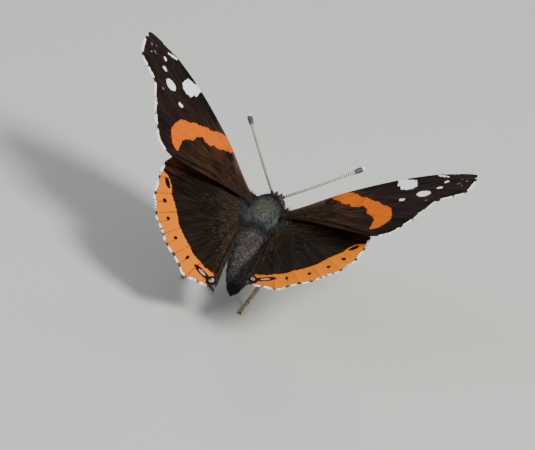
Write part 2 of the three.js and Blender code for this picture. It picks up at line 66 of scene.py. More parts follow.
# From the thorax's middle to the front and to the underside of its box.
THORAX_AHEAD, THORAX_BELOW = 4.067, 3.193
THORAX_LOW, THORAX_HIGH = np.array(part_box("thorax")) / MM
THORAX = np.array([
    (THORAX_LOW[0] + THORAX_HIGH[0]) / 2,
    THORAX_LOW[1] + THORAX_AHEAD,
    THORAX_LOW[2] + THORAX_BELOW,
])


def turned(degrees, axis):
    """A turn about one axis."""
    return Matrix.Rotation(math.radians(degrees), 3, axis)


BODY_TURN = np.array(turned(-BODY_PITCH, "X"))
print("thorax centre in mm:", THORAX.round(3))


def on_body(points):
    """Points in the body's own frame, in mm, to the place of the object, in metres."""
    return (np.asarray(points, float) @ BODY_TURN.T + THORAX) * MM


# %% [markdown]
# ## The camera
#
# The photo was taken from behind and above, a little to the insect's right, with the camera
# rolled by about 24 degrees. The view was worked out from both pairs of wings. A long lens from
# 400 mm away keeps the wings' true proportions.

# %% The camera and where it stands
VIEW_AWAY = Vector((-0.0820, 0.8629, 0.4986)).normalized()
VIEW_RIGHT = Vector((-0.90175, -0.27730, 0.33160)).normalized()
VIEW_UP = VIEW_AWAY.cross(VIEW_RIGHT).normalized()
VIEW_RIGHT = VIEW_UP.cross(VIEW_AWAY).normalized()
VIEW_DISTANCE = 400
PIXELS_PER_MM = 6.82
PHOTO_SIZE = (535, 450)
THORAX_PIXEL = (263.7, 215.6)
SENSOR = 36

camera_data = bpy.data.cameras.new("camera")
camera_data.sensor_width = SENSOR
camera_data.lens = PIXELS_PER_MM * VIEW_DISTANCE * SENSOR / PHOTO_SIZE[0]
camera_data.clip_start = 0.01
camera_data.clip_end = 10
camera = bpy.data.objects.new("camera", camera_data)
bpy.context.collection.objects.link(camera)
aside = (THORAX_PIXEL[0] - PHOTO_SIZE[0] / 2) / PIXELS_PER_MM
above = (PHOTO_SIZE[1] / 2 - THORAX_PIXEL[1]) / PIXELS_PER_MM
stand = Vector(THORAX) + VIEW_AWAY * VIEW_DISTANCE - VIEW_RIGHT * aside - VIEW_UP * above
camera_axes = Matrix((VIEW_RIGHT, VIEW_UP, VIEW_AWAY)).transposed()
camera.matrix_world = Matrix.Translation(stand * MM) @ camera_axes.to_4x4()
bpy.context.scene.camera = camera
print("lens in mm:", round(camera_data.lens, 1), "camera at", [round(v, 1) for v in stand])

# %% [markdown]
# ## Light and floor
#
# A large soft key light stands high on the camera's right, as the sun does in the photo.
# A broad fill and a light from the insect's front keep the dark wings readable against the pale
# floor. One small sun lamp would be simpler, but its hard shadows would hide the hindwings.

# %% The lights and the world
LIGHTS = [
    # name, place and size in mm, power in watts, colour
    ("key_light", (-260, 120, 420), 150, 3.3, (1.0, 0.97, 0.92)),
    ("fill_light", (360, 260, 300), 300, 1.0, (0.92, 0.96, 1.0)),
    ("front_light", (60, -420, 260), 260, 0.8, (1.0, 0.98, 0.95)),
]
for name, place, size, power, colour in LIGHTS:
    data = bpy.data.lights.new(name, "AREA")
    data.energy = power
    data.size = size * MM
    data.color = colour
    light = bpy.data.objects.new(name, data)
    bpy.context.collection.objects.link(light)
    light.location = Vector(place) * MM
    light.rotation_euler = (Vector(THORAX) - Vector(place)).to_track_quat("-Z", "Y").to_euler()

world = bpy.data.worlds.new("pale studio")
world.use_nodes = True
background = world.node_tree.nodes["Background"].inputs
background["Color"].default_value = (0.83, 0.86, 0.88, 1)
background["Strength"].default_value = 0.33
bpy.context.scene.world = world

# %% [markdown]
# ## How the materials are made
#
# Every finish here is a few nodes: a place on the piece goes through some noise and some limits,
# and each limit says where one colour lies over another. Nodes could be placed by hand in the
# shader editor, but a pattern of forty nodes reads better as a short list of layers.

# %% Tools for the materials
# The bump node's own filter width, left as it comes.
BUMP_FILTER = 0.1


def linear(code):
    """An sRGB hex colour as linear red, green, blue and alpha."""
    parts = [int(code[i:i + 2], 16) / 255 for i in (0, 2, 4)]
    parts = [c / 12.92 if c <= 0.04045 else ((c + 0.055) / 1.055) ** 2.4 for c in parts]
    return (*parts, 1.0)


def connect(material, socket, value):
    """Sets a socket to a number or a hex colour, or links it from another node's output."""
    if isinstance(value, bpy.types.NodeSocket):
        material.node_tree.links.new(value, socket)
    else:
        socket.default_value = linear(value) if isinstance(value, str) else value


def add_node(material, kind, *inputs, output=0, **settings):
    """A node with its settings, its open inputs filled from the top down, and one open output."""
    node = material.node_tree.nodes.new("ShaderNode" + kind)
    for name, value in settings.items():
        setattr(node, name, value)
    for socket, value in zip([s for s in node.inputs if s.enabled], inputs):
        connect(material, socket, value)
    return [s for s in node.outputs if s.enabled][output]


def set_shader(material, values):
    """Sets the shader's own sockets, or links them from the pattern."""
    shader = material.node_tree.nodes["Principled BSDF"]
    for name, value in values.items():
        connect(material, shader.inputs[name], value)


def new_material(name, values):
    """A material with its finish on the shader's own sockets, ready for a pattern."""
    material = bpy.data.materials.new(name)
    material.use_nodes = True
    set_shader(material, values)
    return material


# %% Colours in layers, relief and kept numbers
def paint(material, colour, *layers):
    """Lays colours over the first one. A layer is a colour and the limits that it keeps to.

    A limit is a share, or a value with the numbers at which the layer starts and is full.
    """
    for top, *limits in layers:
        share = None
        for limit in limits:
            if isinstance(limit, tuple):
                limit = add_node(material, "MapRange", *limit)
            if share is not None:
                limit = add_node(material, "Math", share, limit, operation="MULTIPLY")
            share = limit
        colour = add_node(material, "Mix", share, colour, top, data_type="RGBA")
    return colour


def finish(material, colour, height, strength, depth):
    """Gives the shader its colour, and a relief with its strength and its depth in mm."""
    relief = add_node(material, "Bump", strength, depth * MM, BUMP_FILTER, height)
    set_shader(material, {"Base Color": colour, "Normal": relief})


def kept_numbers(material, name):
    """A triple that the points keep under a name: whole, and as its three numbers."""
    triple = add_node(material, "Attribute", output=1, attribute_name=name)
    return triple, *add_node(material, "SeparateXYZ", triple).node.outputs


def waves(material, value, turn):
    """A wave that swings between -1 and 1, and turns by so much for each mm of the value."""
    turning = add_node(material, "Math", value, turn, operation="MULTIPLY")
    return add_node(material, "Math", turning, operation="SINE")


# %% The floor
paper = new_material("Matt paper", {"Base Color": "bcbfbb", "Roughness": 0.9})
bpy.ops.mesh.primitive_plane_add(size=3)
floor = bpy.context.object
floor.name = "floor"
floor.data.materials.append(paper)
bpy.ops.object.select_all(action="DESELECT")

# %% [markdown]
# ## Drawing in the flat
#
# A wing is drawn in plan first, as a lepidopterist sets one on a board: x runs from the root to
# the tip, t runs back towards the tail. Its edge, veins and marks are short lists of points in
# this plan. A few measuring helpers say how far any place on the wing is from a line, a patch
# or an oval, and the material later turns those distances into crisp edges.

# %% Smooth lines through a few points
def curve_through(rows, finer):
    """Rows of numbers along a smooth curve through the given rows, so many to each step."""
    rows = np.asarray(rows, float)
    rows = np.vstack([2 * rows[0] - rows[1], rows, 2 * rows[-1] - rows[-2]])
    u = np.linspace(0, 1, finer, endpoint=False)[:, None]
    fine = []
    for a, b, c, d in zip(rows[:-3], rows[1:-2], rows[2:-1], rows[3:]):
        fine.append(0.5 * (2 * b + (c - a) * u + (2 * a - 5 * b + 4 * c - d) * u ** 2
                           + (3 * b - a - 3 * c + d) * u ** 3))
    return np.vstack(fine + [rows[-2:-1]])


def reach_along(line):
    """How far along a line of points each of them is."""
    return np.r_[0, np.cumsum(np.linalg.norm(np.diff(line, axis=0), axis=1))]


def even_places(line, count):
    """Evenly spaced places along a line of points in the plan."""
    along = reach_along(line)
    wanted = np.linspace(0, along[-1], count)
    return np.stack([np.interp(wanted, along, line[:, k]) for k in (0, 1)], axis=1)


def smooth_line(points, count):
    """Evenly spaced places along a smooth curve through the given points."""
    return even_places(curve_through(points, 24), count)


# %% Helpers that measure distances in the plan
# Farther than anything on a wing.
FAR = 9.0


def line_distance(places, line, closed=False):
    """The distance from each place to a line of points."""
    line = np.asarray(line, float)
    starts = line if closed else line[:-1]
    ends = np.roll(line, -1, axis=0) if closed else line[1:]
    best = np.full(len(places), 1e9)
    for a, b in zip(starts, ends):
        step = b - a
        length = max(1e-9, np.hypot(*step))
        share = np.clip(((places - a) @ step) / length ** 2, 0, 1)
        best = np.minimum(best, np.hypot(*(places - a - share[:, None] * step).T))
    return best


def patch_distance(places, outline):
    """The distance to a patch's edge, less than nothing inside it."""
    x, y = places.T
    inside = np.zeros(len(places), bool)
    for (ax, ay), (bx, by) in zip(outline, outline[1:] + outline[:1]):
        if ay != by:
            inside ^= ((ay > y) != (by > y)) & (x < (bx - ax) * (y - ay) / (by - ay) + ax)
    gap = line_distance(places, outline, closed=True)
    return np.where(inside, -gap, gap)


def oval_distance(places, centre, half_length, half_width, turn=0):
    """About the distance to an oval's edge, less than nothing inside it."""
    c, s = math.cos(math.radians(turn)), math.sin(math.radians(turn))
    x = (places[:, 0] - centre[0]) * c + (places[:, 1] - centre[1]) * s
    y = -(places[:, 0] - centre[0]) * s + (places[:, 1] - centre[1]) * c
    reach = np.hypot(x / half_length, y / half_width)
    return (reach - 1) * min(half_length, half_width)


def least(distances):
    """The nearest of several marks."""
    return np.min(np.stack(distances), axis=0)


def nearest_oval(places, ovals):
    """The distance to the nearest of several ovals."""
    return least([oval_distance(places, *oval) for oval in ovals])


# %% [markdown]
# ## The forewing's drawing
#
# The species' marks are the orange band across the middle, the white patch on the front edge,
# a row of white spots towards the tip, and a white fringe broken by dark ticks at the veins.
# The underside repeats them, paler, with blue scales and a marbled tip.

# %% The forewing's edges and veins
forewing = {
    "span": 30,
    "bulge": 0.35,
    "costa": [(-1.4, 0.2), (0.6, 0), (2.4, -0.45), (4.6, -1.2), (7.7, -2.25), (10.3, -2.8), (14.6, -3.35),
              (17.5, -3.48), (20, -3.35), (23.3, -2.95), (25.6, -2.3), (28.5, -1.25), (29.6, -0.6)],
    "margin": [(29.9, 0.3), (29.85, 1.2), (29.5, 2.6), (28.85, 4.2), (27.2, 4.65), (25.5, 5.15),
               (24.4, 5.95), (23.7, 7.1), (22.75, 8.3), (22, 9.6), (20.6, 10.85), (19.2, 12.1),
               (17.2, 12.4)],
    "inner": [(15.3, 11.6), (12.6, 9.9), (10, 8.15), (7.4, 6.35), (5, 4.7), (2.6, 3.2), (0.9, 2.3),
              (-1.4, 1.9)],
    # Each vein has its height and its course.
    "veins": [
        (0.10, [(0.6, 0.45), (2.4, 0), (4.6, -0.75), (7.7, -1.85), (10.3, -2.5), (14.6, -3.1), (20, -3.1),
                (25.6, -2.05)]),
        (0.09, [(0.8, 0.75), (4.8, -0.35), (10, -1.75), (14.2, -2.55)]),
        (0.12, [(0.6, 1.05), (6, 0), (11.5, -0.75), (13.2, -0.5), (20, -0.8), (25, -0.25), (29.6, 0.9)]),
        (0.07, [(9.6, -0.6), (13.5, -1.75), (17.2, -2.7)]),
        (0.07, [(12.4, -0.75), (16, -1.6), (20, -2.55)]),
        (0.07, [(17.4, -0.8), (21, -1.5), (24.2, -2.1)]),
        (0.07, [(21.5, -0.7), (24.6, -1.2), (27.4, -1.3)]),
        (0.08, [(13.2, -0.4), (18, 0.9), (24, 1.9), (28.5, 3.9)]),
        (0.08, [(13, 1.3), (17, 2.7), (21.5, 4.1), (24.8, 5.3)]),
        (0.08, [(12.2, 3.1), (16, 4.75), (20, 6.3), (23.3, 7.7)]),
        (0.12, [(0.6, 1.45), (4, 1.85), (7.4, 2.6), (10.6, 3.25), (14.5, 5.9), (18, 8), (21.9, 9.7)]),
        (0.07, [(10.6, 3.25), (12.2, 3.1), (13, 1.3), (13.2, -0.4)]),
        (0.09, [(7.4, 2.6), (11, 5.6), (15, 8.1), (20.3, 10.9)]),
        (0.09, [(0.6, 1.85), (5, 3.85), (10, 7.2), (15.2, 11)]),
    ],
}

# %% The forewing's marks
# A patch is an outline. An oval has its centre, half length, half width and turn in degrees.
FOREWING_BAND = [
    (8, -2.15), (8.9, -2.45), (10.25, -1.8), (11.2, -0.9), (12.4, 0.55), (12.9, 0.6), (13.8, 1.6),
    (14.7, 2.55), (15.2, 2.6), (15.9, 3.8), (17.1, 4.8), (17.8, 5.7), (18.2, 7.2), (18.3, 8.4), (17.7, 9.6),
    (16.6, 10.2), (15.3, 10.2), (15.5, 9), (15.75, 8.1), (15, 6.6), (14.2, 6), (14, 4.7), (13.4, 3.9),
    (13.3, 3.35), (12.1, 3.4), (11, 2.7), (10.7, 1.9), (9.3, 1.2), (8.7, 0.2), (7.6, -0.2), (7.4, -1),
    (6.9, -1.7),
]
COSTAL_PATCH = [(16.9, -3.45), (18.3, -3.3), (18.9, -2.6), (20.1, -2.15), (20.4, -1.1), (20.7, -0.3),
                (20.1, 0.55), (19.1, 0.6), (18.1, 0), (17.9, -0.9), (17.3, -1.3), (17.3, -2.4)]
WHITE_SPOTS = [((22.1, 2.7), 1.1, 0.76, 14), ((24.4, 1.75), 0.56, 0.34, 12), ((25.1, 0.2), 0.3, 0.2, 0),
               ((19.0, 3.6), 0.5, 0.27, 18)]
WHITE_LINES = [([(23.6, -2.3), (24.3, -1.9), (25.1, -1.35)], 0.2),
               ([(24.4, -2.65), (25.6, -2.3), (26.6, -1.95)], 0.13)]
LILAC_SPOTS = [((27.6, 0.3), 0.28, 0.2, 0), ((27.1, 1.3), 0.35, 0.2, 10), ((28.3, 0.9), 0.25, 0.18, 0),
               ((27.7, 2.0), 0.25, 0.16, 0), ((23.0, 5.0), 0.3, 0.14, 20)]
BLACK_SPOT = ((7.3, -0.05), 1.1, 0.68, 31)
UNDER_WHITE = ((26.2, -1.2), 1.6, 0.35, 20)
UNDER_BLACK = ((15.4, 0.6), 1.5, 1.1, 30)
UNDER_BLUE = [((12.8, -1.4), 1.1, 0.4, 70), ((16.2, -1.6), 0.8, 0.3, 80), ((24.6, 3.2), 1.4, 0.3, 20)]

# %% [markdown]
# ## The hindwing's drawing
#
# The hindwing is plain dark brown, but for the orange band along its outer edge. The band holds
# a row of black spots, and two blue bars ringed with black near the tail corner.

# %% The hindwing's edges and veins
hindwing = {
    "span": 18,
    "bulge": 0.3,
    "costa": [(-1.2, -0.7), (0.6, -1.3), (2.5, -2.1), (6, -2.95), (10, -2.85), (13.2, -2.05), (15.6, -0.95)],
    "margin": [(16.9, 0.2), (17.3, 1.8), (17.9, 3.6), (18.05, 5.4), (18.4, 7.2), (17.95, 8.9), (17.7, 10.6),
               (16.4, 12.3), (15.4, 14.1), (13.3, 15.7), (11.5, 17.6), (9.8, 17.25), (8, 17.1), (6.6, 16.9),
               (5.3, 16.9)],
    "inner": [(4.5, 15), (3.9, 13), (3.2, 11), (2.4, 9), (1.6, 7), (1, 5), (0.5, 3), (0, 1.4), (-1.2, 0.9)],
    "veins": [
        (0.08, [(0.7, -0.5), (4, -1.9), (9, -2.2), (13.8, -1.2)]),
        (0.09, [(0.7, -0.1), (3.5, -0.9), (9, -0.8), (16.6, 0.8)]),
        (0.08, [(4.6, -0.9), (8, 0.6), (13, 2.3), (17.5, 3.7)]),
        (0.08, [(6.2, -0.1), (9, 1.9), (13.5, 4.6), (18, 6.7)]),
        (0.08, [(6.3, 2.7), (10, 5.2), (14, 7.9), (17.5, 9.9)]),
        (0.11, [(0.7, 0.4), (2.6, 1.3), (4.4, 2.1), (6.3, 2.7), (9.5, 6.6), (12.9, 10), (16.1, 12.8)]),
        (0.06, [(6.3, 2.7), (6.6, 1.3), (6.2, -0.1)]),
        (0.08, [(4.4, 2.1), (7.2, 7), (10.4, 11.4), (13.8, 15)]),
        (0.08, [(0.6, 0.9), (3.4, 5.4), (7, 11.4), (11, 17)]),
        (0.07, [(1.3, 3.4), (2.9, 7.6), (4.6, 11.6), (6.5, 16.5)]),
    ],
}

# %% The hindwing's marks
HINDWING_BAND = [
    (16.95, 2.2), (16.4, 2.6), (15.8, 3.2), (15.25, 4.3), (15.2, 5.4), (14.4, 6.7), (13.95, 8), (13.55, 9),
    (13.3, 9.9), (12.2, 11.1), (11, 12.3), (9.95, 13.2), (8.6, 13.7), (7.5, 14.1), (5.9, 14.1), (5.6, 14.7),
    (6.3, 15.9), (7.2, 17.6), (11.6, 18.4), (15.6, 16), (19, 11), (19, 4),
]
BAND_SPOTS = [((16.1, 3.95), 0.92, 0.42, 121), ((16.3, 7.15), 0.42, 0.34, 20),
              ((15.4, 9.75), 0.38, 0.29, 25), ((13.75, 12.2), 0.4, 0.25, 35), ((11.2, 14.2), 0.55, 0.24, 50)]
BAND_FOLDS = [[(16.2, 7.2), (18.2, 8.4)], [(15.2, 9.9), (17.2, 11.3)], [(13.5, 12.3), (15.2, 14.0)],
              [(11.2, 14.2), (12.6, 16.2)]]
BLUE_BARS = [((8.15, 15.15), 0.8, 0.26, -12), ((6.15, 15.45), 0.72, 0.3, 38)]
CREAM_SPOTS = [((9.6, -2.2), 1.6, 0.5), ((8.9, -1.3), 0.5, 0.4)]
EYE_SPOTS = [(14.1, 4.4), (14.3, 7.0), (13.2, 9.2)]
EYE_RINGS = EYE_SPOTS + [(11.7, 11.4)]

# %% [markdown]
# ## From a drawing to a wing
#
# A real wing is a clear membrane stretched between raised veins and covered in scales. It could be
# a flat cut-out with a picture on it, but then its edge, its veins and its gentle camber would be
# missing. It could be extruded by hand, but then its points wouldn't know where they are on the
# wing. So the plan is filled by a fine grid that runs from the front edge to the hind edge, and the
# grid's rows follow the outline exactly. Each grid point is lifted by the camber and by the nearest
# vein, and a second grid below it closes the wing into a thin solid.

# %% The edges that the grid follows
# The hard margin ends inside the fringe. A vein that ends near it breaks the fringe with a dark tick.
FRINGE, TICK_REACH = 0.32, 0.9
COLUMNS, ROWS = 210, 70


def draw_edges(plan):
    """Adds to a plan its front and back edge from root to tip, its hard margin and its ticks."""
    plan["middle"] = np.array([plan["margin"][0][0] * 0.5, 3.0])
    margin = smooth_line(plan["margin"], 60)
    inward = plan["middle"] - margin
    inward /= np.hypot(*inward.T)[:, None]
    hem = margin + inward * FRINGE
    inner = smooth_line(plan["inner"], 40)
    plan["hem"] = hem
    plan["front"] = smooth_line(plan["costa"], COLUMNS)
    plan["back"] = even_places(np.vstack([inner[::-1], hem[::-1]]), COLUMNS)
    ends = np.array([path[-1] for _, path in plan["veins"]])
    plan["ticks"] = ends[[np.min(np.hypot(*(hem - end).T)) < TICK_REACH for end in ends]]


draw_edges(forewing)
draw_edges(hindwing)
# The hindwing's folds break its fringe too.
hindwing["ticks"] = np.vstack([hindwing["ticks"], [fold[1] for fold in BAND_FOLDS], (18.3, 8.4)])
print("dark ticks in the fringes:", len(forewing["ticks"]), "and", len(hindwing["ticks"]))

# %% The wing's pose, camber and relief
WINGS = {
    # plan, side, root in mm, then the rise, sweep and tilt in degrees
    "forewing_left": (forewing, LEFT, (2.75, -1.1, 1.45), 41.4, 3.9, -1.1),
    "forewing_right": (forewing, RIGHT, (2.75, -1.05, 1.4), 37.7, -4.9, -0.8),
    "hindwing_left": (hindwing, LEFT, (2.55, 1.85, 0.45), 34.1, 27, -3),
    "hindwing_right": (hindwing, RIGHT, (2.55, 1.9, 0.4), 31.7, 14.3, 2.6),
}
# The forewing arches across its middle line. The hindwing folds down beside the abdomen.
ARCH_MIDDLE, ARCH_HALF = 3.5, 7.5
FOLD_DEPTH, FOLD_WIDTH, FOLD_LEAN = 0.55, 2.6, 0.27
VEIN_WIDTH = 0.2
# Half of the sheet's thickness at its rim, what the blade and the root add, and how wide the rim is.
RIM_HALF, BLADE_HALF, ROOT_HALF = 0.07, 0.09, 0.16
RIM_WIDTH, ROOT_LENGTH = 0.8, 3.5


def hold_wing(name, plan_points):
    """Points of a wing's plan, with their height above it, at the wing's place on the body."""
    _, side, root, rise, sweep, tilt = WINGS[name]
    turn = turned(-rise, "Y") @ turned(tilt, "X") @ turned(sweep, "Z")
    held = plan_points @ np.array(turn).T + np.array(root)
    held[:, 0] *= side
    return on_body(held)


def camber(plan, places):
    """How far the membrane's middle is lifted from a flat sheet, in mm."""
    x, t = places.T
    arch = plan["bulge"] * np.sin(np.pi * np.clip(x / plan["span"], 0, 1))
    if plan is forewing:
        return arch * (1 - ((t - ARCH_MIDDLE) / ARCH_HALF) ** 2)
    fold = np.clip(1 - (x - FOLD_LEAN * t + 0.4) / FOLD_WIDTH, 0, None)
    return arch - FOLD_DEPTH * fold ** 2


def vein_relief(plan, places):
    """The height of the veins at each place, and the distance to the nearest one."""
    height = np.zeros(len(places))
    nearest = np.full(len(places), FAR)
    for rise, path in plan["veins"]:
        gap = line_distance(places, smooth_line(path, 24))
        height = np.maximum(height, rise * np.exp(-(gap / VEIN_WIDTH) ** 2))
        nearest = np.minimum(nearest, gap)
    return height - 0.05 * np.clip(nearest / 1.2, 0, 1) ** 2, nearest


def half_thickness(plan, places):
    """Half of the sheet's thickness, least at the rim and most at the root, and the rim's distance."""
    outline = np.vstack([plan["front"], plan["back"][::-1]])
    rim = line_distance(places, outline, closed=True)
    half = RIM_HALF + BLADE_HALF * np.clip(rim / RIM_WIDTH, 0, 1)
    return half + ROOT_HALF * np.clip(1 - places[:, 0] / ROOT_LENGTH, 0, 1), rim


# %% [markdown]
# ## What each point of the wing knows
#
# A picture of the wing isn't used. Each point of the mesh carries its distance to the nearest
# vein, to the margin, and to the marks, and the material turns those into colour.
# The distances change evenly between points, so the edges of the marks stay sharp at any zoom.

# %% Measure the marks at each point
# Thin lines in the marks: the folds that cross the band, the rings round the blue bars, and the
# rings round the eye spots, each with half its width.
FOLD_HALF, BAR_RING, EYE_RING = 0.055, 0.16, 0.12


def upper_marks(plan, places):
    """Distances to the orange, white, black and lilac marks of the upper side."""
    if plan is forewing:
        lines = [line_distance(places, line) - half_width for line, half_width in WHITE_LINES]
        white = [patch_distance(places, COSTAL_PATCH), nearest_oval(places, WHITE_SPOTS)]
        orange = patch_distance(places, FOREWING_BAND)
        black = oval_distance(places, *BLACK_SPOT)
        return orange, least(white + lines), black, nearest_oval(places, LILAC_SPOTS)
    bars = nearest_oval(places, BLUE_BARS)
    folds = [line_distance(places, fold) - FOLD_HALF for fold in BAND_FOLDS]
    black = least([nearest_oval(places, BAND_SPOTS), np.abs(bars - BAR_RING) - BAR_RING] + folds)
    return patch_distance(places, HINDWING_BAND), FAR, black, bars


def under_marks(plan, places):
    """Distances to the red, white, black and blue marks of the underside, from the species."""
    if plan is forewing:
        red = patch_distance(places, FOREWING_BAND) - 0.15
        spots = nearest_oval(places, WHITE_SPOTS + [UNDER_WHITE])
        white = least([patch_distance(places, COSTAL_PATCH), spots])
        return red, white, oval_distance(places, *UNDER_BLACK), nearest_oval(places, UNDER_BLUE)
    rings = [np.abs(oval_distance(places, centre, 0.62, 0.5) - 0.05) - EYE_RING for centre in EYE_RINGS]
    eyes = nearest_oval(places, [(centre, 0.4, 0.32) for centre in EYE_SPOTS])
    return FAR, nearest_oval(places, CREAM_SPOTS), least(rings), eyes


# %% Keep the measures on the mesh
# No distance beyond this is needed, and the silky streaks run out from a point behind the root.
MEASURE_REACH = 3
STREAK_ROOT = (-2.5, 0.8)


def triples(**values):
    """Named triples of numbers, one row per point."""
    return {name: np.column_stack(np.broadcast_arrays(*three)) for name, three in values.items()}


def wing_numbers(plan, places, upper):
    """All that the wings' materials need, as named triples."""
    orange, white, black, lilac = (upper_marks if upper else under_marks)(plan, places)
    to_tick = least([np.hypot(*(places - tick).T) for tick in plan["ticks"]])
    to_costa = line_distance(places, smooth_line(plan["costa"], 50))
    to_margin = line_distance(places, plan["hem"])
    numbers = triples(
        marks=(orange, white, black),
        more_marks=(lilac, to_tick, to_costa),
        lines=(vein_relief(plan, places)[1], to_margin, np.zeros(len(places))),
    )
    numbers = {name: np.clip(three, -MEASURE_REACH, MEASURE_REACH) for name, three in numbers.items()}
    x, t = (places - STREAK_ROOT).T
    return numbers | triples(plan=(*places.T, float(upper)), streak=(np.arctan2(t, x), np.hypot(x, t), 0))


def write_numbers(mesh, numbers):
    """Keeps each named triple on the mesh's points."""
    for name, values in numbers.items():
        kept = mesh.attributes.new(name, "FLOAT_VECTOR", "POINT")
        kept.data.foreach_set("vector", np.asarray(values, np.float32).ravel())


# %% [markdown]
# ## The scales' colours
#
# The colour of a butterfly's wing is a carpet of tiny overlapping scales, each of one colour, so
# the marks have slightly ragged edges. A painted texture would fix them at one resolution. Here
# the distances kept on the mesh are turned into masks, a fine noise makes their edges ragged,
# and a streaky noise along the veins gives the brown ground its silky look.

# %% What the wings' materials read
def wing_reading(scales):
    """What the wing's points know, and noises of several sizes that its scales follow."""
    at = SimpleNamespace()
    place, at.x, at.t, at.side = kept_numbers(scales, "plan")
    _, at.band, at.white, at.black = kept_numbers(scales, "marks")
    _, at.lilac, at.tick, at.costa = kept_numbers(scales, "more_marks")
    _, at.vein, at.margin, _ = kept_numbers(scales, "lines")
    streak, _, at.radius, _ = kept_numbers(scales, "streak")
    # The silk runs out from the root, in streaks about half a mm wide and 5 mm long.
    drawn_out = add_node(scales, "VectorMath", streak, (34.0, 0.22, 1.0), operation="MULTIPLY")
    at.silky = add_node(scales, "TexNoise", drawn_out, 1.0, 3.0)
    # A single scale is about 0.1 mm long, a clump of them 0.4 mm, and a cloudy patch 3 mm.
    at.fine = add_node(scales, "TexNoise", place, 9.0, 2.0)
    at.coarse = add_node(scales, "TexNoise", place, 2.3, 2.0)
    at.broad = add_node(scales, "TexNoise", place, 0.35, 3.0)
    lumps = add_node(scales, "Math", at.coarse, 0.5, -0.4, operation="MULTIPLY_ADD")
    at.ragged = add_node(scales, "Math", at.fine, 0.3, lumps, operation="MULTIPLY_ADD")
    return at


# %% The wings' grounds and bands
def forewing_ground(scales, at):
    """Brown and silky at the base, near black outside the band, red brown along the front edge."""
    silk = paint(
        scales, "100904",
        ("402915", (at.silky, 0.35, 0.7)),
        ("52281a", (at.broad, 0.45, 0.75), 0.6),
        ("45544f", (at.costa, 1.9, 1.0), (at.silky, 0.4, 0.6), (at.x, 12, 7)),
    )
    outer = paint(scales, "0d0706", ("2e1a14", (at.silky, 0.4, 0.75)), ("35201a", (at.fine, 0.5, 0.9)))
    return paint(
        scales, silk,
        (outer, (at.x, 11.5, 15.0)),
        ("843519", (at.costa, 0.75, 0.3), (at.x, 9.6, 8.2)),
        ("050404", (at.costa, 2.4, 1.2), (at.x, 11.5, 13.0), (at.x, 22.5, 21.5)),
    )


def forewing_band(scales, at):
    """Orange red scales, crossed by thin dark veins."""
    return paint(scales, "c85600", ("e06c00", (at.fine, 0.3, 0.7)), ("5a2006", (at.vein, 0.1, 0.03), 0.7))


def hindwing_ground(scales, at):
    """Purplish in front, olive black in the middle, brown hair inside, a lilac tail lobe."""
    front = paint(scales, "3c2219", ("7c4832", (at.silky, 0.35, 0.7)))
    hairy = paint(scales, "18120d", ("483828", (at.silky, 0.3, 0.7)))
    return paint(
        scales, "080502",
        ("281c10", (at.silky, 0.4, 0.75)),
        (front, (at.costa, 2.9, 1.2)),
        (hairy, (at.radius, 9.0, 4.0)),
        ("6f6a7c", (at.t, 15.4, 16.0), (at.x, 6.4, 5.8), (at.fine, 0.3, 0.6)),
    )


def hindwing_band(scales, at):
    """Orange scales with thin dark veins."""
    return paint(scales, "cc6800", ("e67e00", (at.fine, 0.3, 0.7)), ("6a2c04", (at.vein, 0.09, 0.03)))


def under_ground(scales, at):
    """The marbled brown, grey and buff of the underside, like bark when the wings are shut."""
    return paint(
        scales, "1d1613",
        ("5c4a3a", (at.broad, 0.4, 0.6)),
        ("857361", (at.coarse, 0.5, 0.66)),
        ("120d0d", (at.coarse, 0.4, 0.3)),
        ("9a8b86", (at.fine, 0.5, 0.8), 0.5),
        ("151010", (at.silky, 0.5, 0.8), 0.6),
        ("7c6a5a", (at.margin, 1.5, 0.9), (at.margin, 0.3, 0.6), 0.6),
        ("8c7a66", (at.vein, 0.13, 0.04), 0.55),
    )


